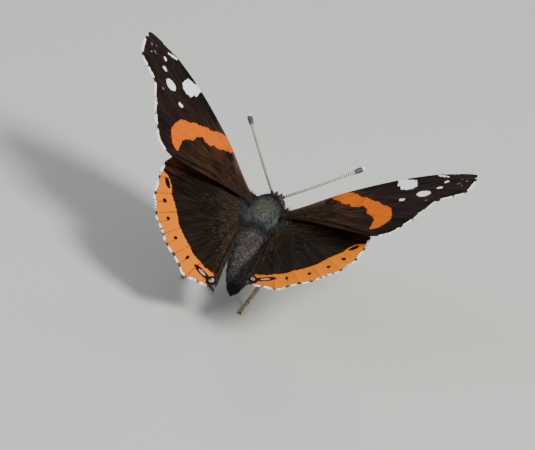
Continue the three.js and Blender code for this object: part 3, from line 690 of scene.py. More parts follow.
# %% The wings' materials
def wing_material(name, plan, ground, band, fringe_width):
    """Scales over a wing: ground colour, marks and fringe, for both of its sides."""
    # Chitin scales are dull with a faint silky sheen.
    scales = new_material(name, {"Roughness": 0.75, "Specular IOR Level": 0.1})
    at = wing_reading(scales)

    def mark(distance, soft=0.035, uneven=1.0):
        """The limit of a mark, with an edge as ragged as its scales make it."""
        rough = add_node(scales, "Math", at.ragged, uneven, distance, operation="MULTIPLY_ADD")
        return rough, soft, -soft

    edge = add_node(scales, "Math", at.margin, at.ragged, operation="ADD")
    hem = (edge, fringe_width + 0.12, fringe_width)
    fringe = (edge, fringe_width, fringe_width - 0.05)
    if plan is forewing:
        white = paint(scales, "e2e1ea", ("ffffff", at.fine))
        marks = [("0e0908", mark(at.black)), ("8d7f96", mark(at.lilac), (at.fine, 0.4, 0.6)),
                 (white, mark(at.white))]
    else:
        marks = [("8f92b6", mark(at.lilac)), ("0d0807", mark(at.black, 0.03, 0.25))]
    above = paint(
        scales, ground(scales, at),
        ("060403", (at.vein, 0.16, 0.05), 0.55),
        (band(scales, at), mark(at.band)),
        *marks,
        ("1d1411", hem),
        (paint(scales, "f5f4f6", ("221a18", (at.tick, 0.46, 0.26))), fringe, (at.x, 6.5, 8.0)),
    )
    below = under_ground(scales, at)
    if plan is forewing:
        disc = paint(scales, "060505", ("241a18", at.silky))
        below = paint(scales, below, (disc, (at.x, 23.5, 21.0), (at.costa, 0.5, 1.1)))
    below = paint(
        scales, below,
        (paint(scales, "c2564a", ("e08a6f", at.fine)), mark(at.band)),
        ("1c1418", mark(at.black)),
        ("6c86b4", mark(at.lilac)),
        ("e6dcc9", mark(at.white)),
        ("4b3d36", hem),
        (paint(scales, "d9d4cb", ("3b302b", (at.tick, 0.55, 0.3))), fringe),
    )
    grit = add_node(scales, "Math", at.fine, 0.5, operation="MULTIPLY")
    height = add_node(scales, "Math", at.silky, 0.8, grit, operation="MULTIPLY_ADD")
    finish(scales, paint(scales, below, (above, at.side)), height, 0.4, 0.03)
    return scales


forewing_scales = wing_material("Scales of the forewing", forewing, forewing_ground, forewing_band, 0.1)
hindwing_scales = wing_material("Scales of the hindwing", hindwing, hindwing_ground, hindwing_band, 0.08)
print("nodes in a wing's material:", len(forewing_scales.node_tree.nodes))

# %% How a piece is made and handed over
def mesh_object(name, points, faces):
    """A new object from points in metres and faces, at the origin."""
    mesh = bpy.data.meshes.new(name)
    mesh.from_pydata(np.asarray(points).tolist(), [], faces)
    piece = bpy.data.objects.new(name, mesh)
    bpy.context.collection.objects.link(piece)
    return piece


def corners_of(mesh):
    """The point that each corner of the mesh's faces stands on."""
    corners = np.empty(len(mesh.loops), np.int32)
    mesh.loops.foreach_get("vertex_index", corners)
    return corners


def write_unwrap(mesh, per_corner):
    """The unwrap that the finish is baked on."""
    layer = mesh.uv_layers.new(name="OFBake")
    layer.data.foreach_set("uv", np.asarray(per_corner, np.float32).ravel())


def hand_over(piece, material, nodes, smooth=True):
    """Gives a piece its finish, sets it on the body's root, and hides the solids that it stands for."""
    piece.data.materials.append(material)
    if smooth:
        piece.data.shade_smooth()
    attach(piece, "root")
    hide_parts(*nodes)
    print(piece.name, "has", len(piece.data.polygons), "faces")


def new_piece(name, points, faces, unwrap, numbers, material, nodes, smooth=True):
    """A piece from its points in metres, each with a place on the unwrap and its numbers."""
    piece = mesh_object(name, points, faces)
    write_numbers(piece.data, numbers)
    write_unwrap(piece.data, unwrap[corners_of(piece.data)])
    hand_over(piece, material, nodes, smooth)
    return piece


# %% Make the four wings
UNWRAP_PER_MM = 0.0142


def wing_unwrap(places, upper):
    """The place of a plan point on the wing's flat unwrap: the upper side left, the underside right."""
    u = (places[:, 0] + 2) * UNWRAP_PER_MM + 0.01 + (0 if upper else 0.5)
    v = (places[:, 1] + 5) * UNWRAP_PER_MM + 0.3
    return np.stack([u, v], axis=1)


def sheet_faces():
    """The faces of the upper grid and of the lower one behind it, and the rim between them."""
    count = COLUMNS * ROWS
    at = lambda i, j: i * ROWS + j
    faces = []
    for i in range(COLUMNS - 1):
        for j in range(ROWS - 1):
            a, b, c, d = at(i, j), at(i + 1, j), at(i + 1, j + 1), at(i, j + 1)
            faces += [(a, b, c, d), (count + a, count + d, count + c, count + b)]
    ring = [at(i, 0) for i in range(COLUMNS)] + [at(COLUMNS - 1, j) for j in range(1, ROWS)]
    ring += [at(i, ROWS - 1) for i in range(COLUMNS - 2, -1, -1)]
    ring += [at(0, j) for j in range(ROWS - 2, 0, -1)]
    return faces + [(a, count + a, count + b, b) for a, b in zip(ring, ring[1:] + ring[:1])]


def make_wing(name):
    """One wing as a thin closed sheet with raised veins on both sides."""
    plan, side = WINGS[name][:2]
    # The rows lie closer together towards both edges.
    even = np.linspace(0, 1, ROWS)[None, :, None]
    share = 0.5 * (0.5 - 0.5 * np.cos(np.pi * even)) + 0.5 * even
    places = (plan["front"][:, None] * (1 - share) + plan["back"][:, None] * share).reshape(-1, 2)
    half, rim = half_thickness(plan, places)
    relief = vein_relief(plan, places)[0] * np.clip(rim / RIM_WIDTH * 2, 0, 1)
    middle = camber(plan, places)
    top = np.column_stack([places, middle + half + relief])
    under = np.column_stack([places, middle - half - 0.7 * relief])
    faces = [face[::side] for face in sheet_faces()]
    upper, lower = wing_numbers(plan, places, True), wing_numbers(plan, places, False)
    numbers = {key: np.vstack([upper[key], lower[key]]) for key in upper}
    unwrap = np.vstack([wing_unwrap(places, True), wing_unwrap(places, False)])
    scales = forewing_scales if plan is forewing else hindwing_scales
    points = hold_wing(name, np.vstack([top, under]))
    new_piece(name + "_scaled", points, faces, unwrap, numbers, scales, [name])


for name in WINGS:
    make_wing(name)

# %% [markdown]
# ## One skin under the fur
#
# Under its hair the body is a hard shell in rings: the head, the barrel of the thorax with the
# flight muscles, and eight rings of the abdomen. Separate lumps would show a seam where they
# meet, so plain forms for these three, the neck, the waist and the wings' sockets are joined and
# remeshed into one smooth skin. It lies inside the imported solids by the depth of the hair, so that
# the hair's tips reach the solids' surface.

# %% The forms of the body
HEAD_PLACE, HEAD_TURN = (-0.2, -4.65, -0.5), np.array(turned(8, "X"))
ABDOMEN_PLACE, ABDOMEN_DROP, ABDOMEN_BEND = (0, 3.3, -0.75), -20.7, 6.8
ABDOMEN_TURN = np.array(turned(ABDOMEN_BEND, "Z") @ turned(ABDOMEN_DROP, "X"))
SEGMENTS, SEGMENT = 8, 1.39
COAT_DEPTH = {"head": 0.3, "thorax": 0.42, "abdomen": 0.2}
# Each ring has its place along the body, half width, height above and below, and lift.
THORAX_RINGS = [
    (-4.1, 0, 0, 0, .1), (-3.95, .85, .8, .9, .1), (-3.5, 1.55, 1.5, 1.6, .15), (-2.7, 2.15, 2.2, 2.3, .1),
    (-1.6, 2.65, 2.85, 2.8, 0), (-.4, 2.9, 3.2, 3, -.05), (.8, 2.85, 3.15, 3, -.1), (2, 2.6, 2.75, 2.8, -.2),
    (3, 2.2, 2.2, 2.4, -.35), (3.8, 1.6, 1.5, 1.7, -.5), (4.2, .8, .7, .9, -.6), (4.35, 0, 0, 0, -.6),
]
HEAD_RINGS = [
    (-1.5, 0, 0, 0, -.1), (-1.35, .5, .55, .6, -.1), (-1, .85, .95, 1.05, -.05), (-.4, 1.05, 1.25, 1.35, 0),
    (.3, 1.05, 1.25, 1.35, 0), (.9, .85, 1, 1.1, 0), (1.2, .5, .6, .6, 0), (1.3, 0, 0, 0, 0),
]
# The neck and the waist are round: place along, radius and lift.
NECK = [(-1.6, 0, 0), (-1.5, 0.95, 0), (0, 1.05, 0), (1.5, 1.3, 0.05), (1.6, 0, 0.05)]
WAIST = [(-1.8, 0, 0), (-1.6, 1.5, 0), (0, 1.75, 0), (1.2, 1.6, 0), (1.4, 0, 0)]
# The lumps that carry the wings: place, half sizes, and the rise in degrees.
SOCKETS = [((2.6, -0.5, 1.35), (0.9, 1.0, 0.4), 40), ((3.2, 0.8, 1.15), (1.5, 1.2, 0.3), 36),
           ((2.4, 2.2, 0.3), (1.0, 1.7, 0.5), 33), ((1.8, 3.7, -0.4), (0.9, 1.5, 0.6), 20)]
BALL = [(y, math.sqrt(max(0, 1 - y * y)), 0) for y in np.linspace(-1, 1, 15)]


# %% From rings to forms
def abdomen_rings():
    """The rings of the abdomen, each segment a little swollen behind its front edge."""
    radius = lambda s: 1.35 + 1.05 * math.sin(math.pi * min(1, 0.12 + 0.8 * s)) - 0.75 * s ** 3
    rows = [(-0.6, 0), (-0.4, radius(0) * 0.9)]
    for number in range(SEGMENTS):
        for share, swell in ((0.12, 0), (0.55, 0.1), (0.9, 0.12), (1, -0.02)):
            s = (number + share) / SEGMENTS
            rows.append(((number + share) * SEGMENT, radius(s) + swell * (1 - 0.4 * s)))
    end, last = SEGMENTS * SEGMENT, radius(1)
    rows += [(end + 0.35, last * 0.62), (end + 0.75, last * 0.35), (end + 0.9, 0)]
    return [(y, r, r * 0.94, r * 0.98, 0) for y, r in rows]


def on_head(points):
    """Points of the head's frame in the body's frame."""
    return np.asarray(points, float) @ HEAD_TURN.T + HEAD_PLACE


def head_in_room(points):
    """Points of the head's frame to the place of the object, in metres."""
    return on_body(on_head(points))


def on_abdomen(points):
    """Points of the abdomen's frame in the body's frame."""
    return np.asarray(points, float) @ ABDOMEN_TURN.T + ABDOMEN_PLACE


def ring_faces(rings, around):
    """The faces of rings of points, one behind the other, that end in a point at each end."""
    turns = [(j, (j + 1) % around) for j in range(around)]
    rows = [i * around for i in range(rings)]
    faces = [(a + j, a + k, b + k, b + j) for a, b in zip(rows, rows[1:]) for j, k in turns]
    first = rings * around
    for j, k in turns:
        faces += [(first, k, j), (first + 1, rows[-1] + j, rows[-1] + k)]
    return faces


def round_rings(rows):
    """Rings that are round, from rows of place along, radius and lift."""
    return [(y, r, r, r, z) for y, r, z in rows]


def oval_form(rings, depth, place, around=56):
    """A closed oval form from its rings, drawn in by a depth, in the body's frame."""
    rings = np.array(rings, float)
    rings[:, 1:4] = np.maximum(rings[:, 1:4] - depth, 0)
    rings = rings[rings[:, 1] > 0.02]
    y, wide, above, below, lift = rings.T[:, :, None]
    turns = np.linspace(0, 2 * np.pi, around, endpoint=False)
    z = lift + np.where(np.sin(turns) > 0, above, below) * np.sin(turns)
    points = np.stack(np.broadcast_arrays(wide * np.cos(turns), y, z), axis=2).reshape(-1, 3)
    ends = [(0, rings[0, 0] - 0.1, rings[0, 4]), (0, rings[-1, 0] + 0.1, rings[-1, 4])]
    return mesh_object("form", place(np.vstack([points, *ends])), ring_faces(len(rings), around))


# %% Join and smooth the skin
forms = [
    oval_form(THORAX_RINGS, COAT_DEPTH["thorax"], lambda p: p),
    oval_form(HEAD_RINGS, COAT_DEPTH["head"], on_head),
    oval_form(abdomen_rings(), COAT_DEPTH["abdomen"], on_abdomen),
    oval_form(round_rings(NECK), 0.1, lambda p: p + (-0.15, -3.9, -0.3)),
    oval_form(round_rings(WAIST), 0.1, lambda p: on_abdomen(p - (0, 0.4, -0.1))),
]
for side in (LEFT, RIGHT):
    for (x, y, z), size, rise in SOCKETS:
        lean = np.array(turned(-side * rise, "Y"))
        forms.append(oval_form(round_rings(BALL), 0, lambda p: (p * size) @ lean.T + (side * x, y, z)))
bpy.ops.object.select_all(action="DESELECT")
for form in forms:
    form.select_set(True)
bpy.context.view_layer.objects.active = forms[0]
bpy.ops.object.join()
skin = bpy.context.object
skin.name = "skin"
remesh = skin.modifiers.new("remesh", "REMESH")
remesh.mode = "VOXEL"
remesh.voxel_size = 0.13
soften = skin.modifiers.new("soften", "SMOOTH")
soften.factor = 0.5
soften.iterations = 5
for modifier in ("remesh", "soften"):
    bpy.ops.object.modifier_apply(modifier=modifier)
bpy.ops.object.select_all(action="DESELECT")


def points_of(mesh):
    """A mesh's points as an array."""
    flat = np.empty(len(mesh.vertices) * 3)
    mesh.vertices.foreach_get("co", flat)
    return flat.reshape(-1, 3)


def triangles_of(mesh):
    """A mesh's faces as triangles."""
    mesh.calc_loop_triangles()
    flat = np.empty(len(mesh.loop_triangles) * 3, np.int32)
    mesh.loop_triangles.foreach_get("vertices", flat)
    return flat.reshape(-1, 3)


skin_points, skin_triangles = points_of(skin.data), triangles_of(skin.data)
print("skin:", len(skin_points), "points")

# %% Where a point is on the body
NECK_Y, THORAX_SPAN, HEAD_SPAN = -3.8, 7.4, 2.6
ABDOMEN_START, TAIL = 0.1, 0.6
# The unwrap's middle and width round the body, its scale along it, and where the face is.
SEAM, ROUND, BODY_UNWRAP_PER_MM, FACE_Y = 0.37, 0.7, 0.0405, -6.8


def coat_place(body_points):
    """How far along the body each point is, and how far round it from the back.

    The first number runs from -1 at the face over 0 at the neck and 1 at the waist to 2 at the tail.
    """
    own = (body_points - ABDOMEN_PLACE) @ ABDOMEN_TURN
    past_neck = body_points[:, 1] - NECK_Y
    along = past_neck / np.where(past_neck < 0, HEAD_SPAN, THORAX_SPAN)
    behind = own[:, 1] > ABDOMEN_START
    along = np.where(behind, 1 + (own[:, 1] - ABDOMEN_START) / (SEGMENTS * SEGMENT + TAIL), along)
    x, _, z = np.where(behind[:, None], own, body_points).T
    return along, np.arctan2(x, z)


def body_unwrap(body_points):
    """The place of each point on the skin's unwrap: round the body, and along it."""
    _, around = coat_place(body_points)
    v = 0.02 + (body_points[:, 1] - FACE_Y) * BODY_UNWRAP_PER_MM
    return np.stack([SEAM + around / (2 * np.pi) * ROUND, v], axis=1)


unwrap = body_unwrap(skin_points)[corners_of(skin.data)]
# A face across the seam takes all its corners to the same side of it.
for face in skin.data.polygons:
    held = unwrap[face.loop_start:face.loop_start + face.loop_total]
    if np.ptp(held[:, 0]) > ROUND / 2:
        held[held[:, 0] < SEAM, 0] += ROUND
write_unwrap(skin.data, unwrap)
write_numbers(skin.data, triples(coat=(*coat_place(skin_points), 0.3), root=skin_points.T))
skin.data.vertices.foreach_set("co", on_body(skin_points).ravel())
skin.data.update()

# %% [markdown]
# ## Tufts of hair and scales
#
# The thorax of a red admiral is furry and the abdomen is covered in flat scales. Each tuft here
# is a small solid thorn with three sides, rooted just under the skin and bent along the lie of
# the fur. Particle hair would be easier, but solid tufts keep their shape wherever the model
# goes. Each tuft has its own small patch on the skin's unwrap, at its root's place.

# %% Make tufts
CHANCE = np.random.default_rng(7)
# A tuft is a root triangle, a triangle at half its length, and its tip.
TUFT_FACES = [(0, 1, 2), (1, 0, 3), (1, 3, 4), (2, 1, 4), (2, 4, 5), (0, 2, 5), (0, 5, 3), (4, 3, 6),
              (5, 4, 6), (3, 5, 6)]
TUFT_POINTS = 7
# Its widths as shares at the root and half way, its height against its width, and how its tip leans.
ROOT_SHARE, MIDDLE_SHARE, KEEL, TIP_RISE, TIP_LEAN = 0.5, 0.42, 0.7, 0.72, 0.18
TUFT_PATCH = np.array([(0.0013, -0.0008), (-0.0013, -0.0008), (0, 0.0015), (0.0007, -0.0004),
                       (-0.0007, -0.0004), (0, 0.0008), (0, 0)])


def scatter(points, triangles, spacing):
    """Evenly scattered places on a mesh, with the surface's normal at each."""
    a, b, c = (points[triangles[:, k]] for k in range(3))
    across = np.cross(b - a, c - a)
    area = np.linalg.norm(across, axis=1) / 2
    count = int(area.sum() / spacing ** 2 * 5)
    chosen = CHANCE.choice(len(area), count, p=area / area.sum())
    s, t = CHANCE.random((2, count, 1))
    over = (s + t) > 1
    s, t = np.where(over, 1 - s, s), np.where(over, 1 - t, t)
    places = a[chosen] + s * (b - a)[chosen] + t * (c - a)[chosen]
    normals = across[chosen] / np.linalg.norm(across[chosen], axis=1)[:, None]
    _, first = np.unique(np.floor(places / spacing).astype(np.int64), axis=0, return_index=True)
    return places[first], normals[first]


def unit(vectors):
    """Vectors at length one."""
    return vectors / np.maximum(np.linalg.norm(vectors, axis=-1, keepdims=True), 1e-9)


def tufts(roots, normals, lie, length, width, lift, sink):
    """The points and faces of thorns that rise from the skin and bend over along the lie."""
    count = len(roots)
    lie = unit(lie - normals * np.sum(lie * normals, axis=1)[:, None])
    side = np.cross(normals, lie)
    length, width = (np.broadcast_to(v, count)[:, None] for v in (length, width))
    rise, run = np.sin(lift), np.cos(lift)
    middle = roots + (normals * rise + lie * run) * length * 0.5
    tip = roots + (normals * rise * TIP_RISE + lie * (run + TIP_LEAN)) * length
    rings = []
    for centre, size in ((roots - normals * sink, ROOT_SHARE), (middle, MIDDLE_SHARE)):
        across = side * width * size
        rings += [centre + across, centre - across, centre + normals * width * size * KEEL]
    points = np.stack(rings + [tip], axis=1).reshape(-1, 3)
    faces = np.array(TUFT_FACES) + TUFT_POINTS * np.arange(count)[:, None, None]
    return points, faces.reshape(-1, 3)


# %% Make pieces of many tufts
def grow(roots, normals, lie, length, width, lift, sway, sizes=(0.7, 1.2), sink=0.03):
    """Tufts of uneven size and lie."""
    size = CHANCE.uniform(*sizes, len(roots))
    lie = lie + CHANCE.normal(0, sway, (len(roots), 3))
    return tufts(roots, normals, lie, length * size, width * size, lift, sink)


def coat_piece(name, made, unwrap, numbers, material, nodes, place=on_body):
    """One object from many tufts, with its unwrap, its numbers and its material."""
    points, faces = made
    patches = np.repeat(unwrap, TUFT_POINTS, axis=0) + np.tile(TUFT_PATCH, (len(unwrap), 1))
    numbers = {key: np.repeat(value, TUFT_POINTS, axis=0) for key, value in numbers.items()}
    new_piece(name, place(points), faces.tolist(), patches, numbers, material, nodes, smooth=False)


# %% The coat's material
# The way from the thorax's middle to its crown, between up and back, where a painted highlight lies.
LIT_CROWN_WAY = (0, 0.5, 0.866)


def coat_colour(material):
    """The body's colours by place: teal grey thorax with a painted highlight and painted shade, purplish
    abdomen, black tail tip.
    """
    _, along, around, chance = kept_numbers(material, "coat")
    root = add_node(material, "Attribute", output=1, attribute_name="root")
    # The tufts differ one by one, and in patches of about 0.2 mm.
    grit = add_node(material, "TexNoise", root, 5.0, 2.0)
    grit = add_node(material, "Math", grit, 0.4, operation="MULTIPLY")
    speck = add_node(material, "Math", chance, 0.6, grit, operation="MULTIPLY_ADD")
    outward = add_node(material, "VectorMath", root, operation="NORMALIZE")
    lit_crown_share = add_node(material, "VectorMath", outward, LIT_CROWN_WAY, operation="DOT_PRODUCT")
    belly = add_node(material, "Math", around, operation="ABSOLUTE")
    speckled = (speck, 0.2, 0.85)
    # The crown's paler hair is partly the hair's own colour and partly a painted highlight, facing the light
    # above and behind. The dark flanks are partly the hair's own colour and partly painted shade.
    crown_and_highlight = paint(material, "262820", ("87887a", speckled))
    flank_and_shade = paint(material, "0f0d0c", ("3a322e", speck))
    thorax = paint(material, "1b2021", ("747e7c", speckled), (crown_and_highlight, (lit_crown_share, 0.82, 0.93)),
                   (flank_and_shade, (lit_crown_share, 0.74, 0.45)))
    tail = paint(material, "070606", ("1d1a1a", speck))
    abdomen = paint(material, "100d0c", ("564c4d", (speck, 0.15, 0.8)), ("9a9090", (speck, 0.72, 0.9)),
                    (tail, (along, 1.83, 1.87)))
    return paint(
        material, "0e0a09",
        ("3c3634", speckled),
        ("6e2212", (chance, 0.6, 0.65), (along, -0.2, -0.6)),
        (thorax, (along, -0.08, 0.06)),
        (abdomen, (along, 0.97, 1.08)),
        ("080707", (along, 0.9, 0.98), (along, 1.13, 1.05), 0.75),
        ("6b625a", (belly, 1.9, 2.4), 0.7),
    )


# Hair-like scales are dull, with a weak sheen when seen from the side.
coat_hair = new_material("Body hair", {"Roughness": 0.7, "Specular IOR Level": 0.25, "Sheen Weight": 0.15})
set_shader(coat_hair, {"Base Color": coat_colour(coat_hair)})

# The skin between the tufts is the same colour, darker, and rough with the hair's roots, which
# are about 0.15 mm apart.
skin_shell = new_material("Body skin", {"Roughness": 0.75, "Specular IOR Level": 0.2})
root = add_node(skin_shell, "Attribute", output=1, attribute_name="root")
hair_roots = add_node(skin_shell, "TexNoise", root, 7.0, 3.0)
finish(skin_shell, paint(skin_shell, coat_colour(skin_shell), ("0a0908", 0.45)), hair_roots, 0.6, 0.08)
hand_over(skin, skin_shell, ["thorax", "abdomen", "head"])

# %% Clothe the body
EYE_PLACE, EYE_SIZE = (0.98, -0.05, 0), (0.8, 1.05, 1.12)
# Which way the tufts lie: outwards from the middle, towards the tail, and up.
TAILWARD, FACEWARD, OUT_AND_BACK = (0, 1, -0.1), (0, -0.6, 0.5), (0.75, 0.8, 0.15)


def clear_of_eyes(places, room=1.02):
    """True where a place is outside both eyes."""
    own = (places - HEAD_PLACE) @ HEAD_TURN
    clear = np.ones(len(places), bool)
    for side in (LEFT, RIGHT):
        off = (own - (side * EYE_PLACE[0], *EYE_PLACE[1:])) / (np.array(EYE_SIZE) * room)
        clear &= np.sum(off ** 2, axis=1) > 1
    return clear


def clothe(name, where, spacing, length, width, lift, lie, nodes, sway):
    """Tufts over the part of the skin that the rule picks by place along and round the body."""
    roots, normals = scatter(skin_points, skin_triangles, spacing)
    held = where(*coat_place(roots)) & clear_of_eyes(roots)
    roots, normals = roots[held], normals[held]
    outward = np.sign(roots[:, 0])
    lie = np.column_stack([outward * lie[0], np.full(len(roots), lie[1]), np.full(len(roots), lie[2])])
    made = grow(roots, normals, lie, length, width, lift, sway, (0.65, 1.15), 0.06)
    numbers = triples(coat=(*coat_place(roots), CHANCE.random(len(roots))), root=roots.T)
    coat_piece(name, made, body_unwrap(roots), numbers, coat_hair, nodes)


def on_sides(along, around):
    """True along the sides of the thorax and at the waist, above the legs."""
    return (along > 0.2) & (along < 1.25) & (np.abs(around) > 0.85) & (np.abs(around) < 2.0)


def on_thorax(along, around):
    """True from the neck to the waist."""
    return (along >= 0) & (along < 1.02)


COATS = [
    # name, where, spacing, length and width in mm, lift in radians, lie, solids, sway
    ("thorax_fur", on_thorax, 0.118, 0.6, 0.085, 0.75, TAILWARD, ["thorax"], 0.25),
    ("side_fur", on_sides, 0.17, 1.3, 0.085, 0.5, OUT_AND_BACK, ["thorax", "abdomen"], 0.2),
    ("abdomen_scales", lambda s, _: s >= 1.02, 0.135, 0.4, 0.16, 0.32, TAILWARD, ["abdomen"], 0.25),
    ("head_fur", lambda s, _: s < 0, 0.09, 0.4, 0.07, 0.95, FACEWARD, ["head"], 0.25),
]
for coat in COATS:
    clothe(*coat)

# %% [markdown]
# ## Feelers, tongue, palps and legs
#
# These are all tubes whose thickness changes along the way. A curve with a bevel would do for one,
# but its points wouldn't know how far along they are, which the rings and bands of colour need. So
# one helper sweeps a ring of points along a path and keeps that with each point. A feeler has about
# forty rings of black and white scales and a club with a cream tip. The tongue is a flat coil
# between two furry palps. The middle and hind legs carry the insect. The forelegs of this family
# are short brushes folded against the chest.

# %% A tube along a path
THINNEST = 0.03


def tube(stations, sides, finer):
    """A closed tube through rows of (x, y, z, radius): its points, faces and kept numbers.

    The numbers are how far along a point is, how far round, and the length of the whole tube.
    """
    rows = curve_through(stations, finer)
    way, radius = rows[:, :3], np.maximum(rows[:, 3], THINNEST)
    along = reach_along(way)
    ahead = unit(np.gradient(way, axis=0))
    side = np.zeros_like(ahead)
    held = np.cross(ahead[0], (0.31, 0.42, 0.85))
    for k, direction in enumerate(ahead):
        held = held - direction * (held @ direction)
        held = held / np.linalg.norm(held)
        side[k] = held
    up = np.cross(ahead, side)
    turns = np.linspace(0, 2 * np.pi, sides, endpoint=False)[None, :, None]
    spokes = np.cos(turns) * side[:, None] + np.sin(turns) * up[:, None]
    rings = way[:, None] + radius[:, None, None] * spokes
    ends = [way[0] - ahead[0] * radius[0] * 0.5, way[-1] + ahead[-1] * radius[-1] * 0.5]
    points = np.vstack([rings.reshape(-1, 3), *ends])
    reach = np.r_[np.repeat(along, sides), 0, along[-1]]
    around = np.r_[np.tile(turns.ravel(), len(way)), 0, 0]
    numbers = np.stack([reach, around, np.full(len(points), along[-1])], axis=1)
    return points, ring_faces(len(way), sides), numbers


def tube_unwrap(numbers):
    """The place of a tube's points on its own unwrap: along it, and round it and back."""
    length = max(numbers[0, 2], 0.1)
    return 0.02 + 0.9 * numbers[:, 0] / length, 0.1 + 0.8 * np.abs(numbers[:, 1] - np.pi) / np.pi


def tube_piece(name, tubes, place, material, node):
    """One object from tubes, each with its own strip of the unwrap."""
    faces, unwrap, start = [], [], 0
    for order, (some, some_faces, some_numbers) in enumerate(tubes):
        faces += [tuple(corner + start for corner in face) for face in some_faces]
        u, v = tube_unwrap(some_numbers)
        unwrap.append(np.stack([u, (order + v) / len(tubes)], axis=1))
        start += len(some)
    points = np.vstack([some for some, _, _ in tubes])
    numbers = {"tube": np.vstack([some for _, _, some in tubes]), "root": points}
    new_piece(name, place(points), faces, np.vstack(unwrap), numbers, material, [node])


# %% The feelers
ANTENNA_LENGTH, ANTENNA_SAG = 14.8, 0.2
ANTENNA_ROOT, ANTENNA_WAY = (0.62, -0.45, 0.95), (0.6125, -0.7046, 0.3584)
RING_STEP, RING_DEPTH = 0.385, 0.012
# How far along the feeler, as a share of its length, and the radius there.
ANTENNA_RADII = [(-0.03, 0.26), (0, 0.3), (0.03, 0.26), (0.05, 0.21), (0.3, 0.2), (0.6, 0.2), (0.8, 0.22),
                 (0.86, 0.29), (0.9, 0.38), (0.94, 0.42), (0.97, 0.4), (0.99, 0.3), (1, 0.16)]


def antenna_rows(side):
    """The path and thickness of a feeler, from its socket to its club's tip."""
    shares = np.linspace(ANTENNA_RADII[0][0], 1, 150)
    radii = np.interp(shares, *np.array(ANTENNA_RADII).T)
    radii += RING_DEPTH * np.cos(shares * ANTENNA_LENGTH / RING_STEP * 2 * np.pi) * (shares < 0.84)
    way = unit(np.array(ANTENNA_WAY) * (side, 1, 1))
    path = np.array(ANTENNA_ROOT) * (side, 1, 1) + way * (shares * ANTENNA_LENGTH)[:, None]
    path[:, 2] -= ANTENNA_SAG * np.sin(np.pi * np.clip(shares, 0, 1))
    return np.column_stack([path, radii])


# Smooth hard cuticle with white scales in rings that end before the club. The scales' grain is
# about 0.17 mm, coarser than in life so that it shows.
feeler = new_material("Feeler scales", {"Roughness": 0.5})
_, reach, _, _ = kept_numbers(feeler, "tube")
rings = waves(feeler, reach, 2 * math.pi / RING_STEP)
root = add_node(feeler, "Attribute", output=1, attribute_name="root")
grit = add_node(feeler, "TexNoise", root, 6.0, 2.0)
widening = add_node(feeler, "MapRange", reach, 1.0, 12.5)
ring_edge = add_node(feeler, "Math", widening, -0.85, 0.6, operation="MULTIPLY_ADD")
white_share = add_node(feeler, "Math", rings, ring_edge, operation="SUBTRACT")
shaft = paint(
    feeler, "120e0e",
    (paint(feeler, "b9b3ac", ("f6f3ec", grit)), (white_share, -0.15, 0.15), (reach, 0.9, 1.3)),
    (paint(feeler, "1d1c26", ("56566e", grit)), (reach, 13.15, 13.3)),
    ("f2e6b4", (reach, 14.62, 14.72)),
)
finish(feeler, shaft, add_node(feeler, "Math", rings, grit, operation="ADD"), 0.35, 0.03)
for side, word in SIDES:
    tube_piece("feeler_" + word, [tube(antenna_rows(side), 16, 1)], head_in_room, feeler, "antenna_" + word)

# %% The tongue
COIL_Y, COIL_Z, COIL_TURNS, COIL_START = -0.9, -2.45, 1.3, 0.55
shares = np.linspace(0, 1, 60)
angles = COIL_START * np.pi + shares * COIL_TURNS * 2 * np.pi
reaches = 1.3 - 0.85 * shares
coil = np.column_stack([
    np.zeros(60),
    COIL_Y + reaches * np.cos(angles),
    COIL_Z + reaches * np.sin(angles),
    0.2 - 0.04 * shares,
])
# Dark amber horn, a little glossy, with ridges across it. They are drawn 0.16 mm apart, coarser
# than in life so that they show.
tongue = new_material("Tongue horn", {"Roughness": 0.35})
ridges = waves(tongue, kept_numbers(tongue, "tube")[1], 40.0)
finish(tongue, paint(tongue, "33200f", ("6b4a22", (ridges, -1.0, 1.0))), ridges, 0.4, 0.03)
tube_piece("tongue", [tube(coil, 14, 1)], head_in_room, tongue, "proboscis")

# %% The palps
PALP = [(.36, -.75, -.95, .22), (.42, -1.3, -.85, .3), (.46, -1.8, -.55, .32), (.45, -2.1, -.15, .28),
        (.4, -2.3, .2, .2), (.36, -2.4, .55, .1)]
PALP_LIE = (0.0, -0.45, 0.9)
# A palp takes the colours of this place on the body.
PALP_ALONG, PALP_AROUND = -0.7, 1.2


def palp_unwrap(own):
    """The place of a palp's points on its unwrap, seen from the side."""
    return np.column_stack([0.1 + (own[:, 1] + 3) * 0.2, 0.1 + (own[:, 2] + 1.5) * 0.2])


for side, word in SIDES:
    points, faces, _ = tube(np.array(PALP) * (side, 1, 1, 1), 18, 5)
    body_points = on_head(points)
    numbers = triples(coat=(PALP_ALONG, side * PALP_AROUND, np.full(len(points), 0.4)), root=body_points.T)
    core = new_piece("palp_core_" + word, on_body(body_points), faces, palp_unwrap(points), numbers,
                     skin_shell, ["palp_" + word])
    roots, normals = scatter(body_points, triangles_of(core.data), 0.085)
    made = grow(roots, normals, HEAD_TURN @ PALP_LIE, 0.32, 0.06, 0.5, 0.2)
    chance = CHANCE.random(len(roots))
    numbers = triples(coat=(PALP_ALONG, side * PALP_AROUND, chance), root=roots.T)
    patches = palp_unwrap((roots - HEAD_PLACE) @ HEAD_TURN)
    coat_piece("palp_fur_" + word, made, patches, numbers, coat_hair, ["palp_" + word])

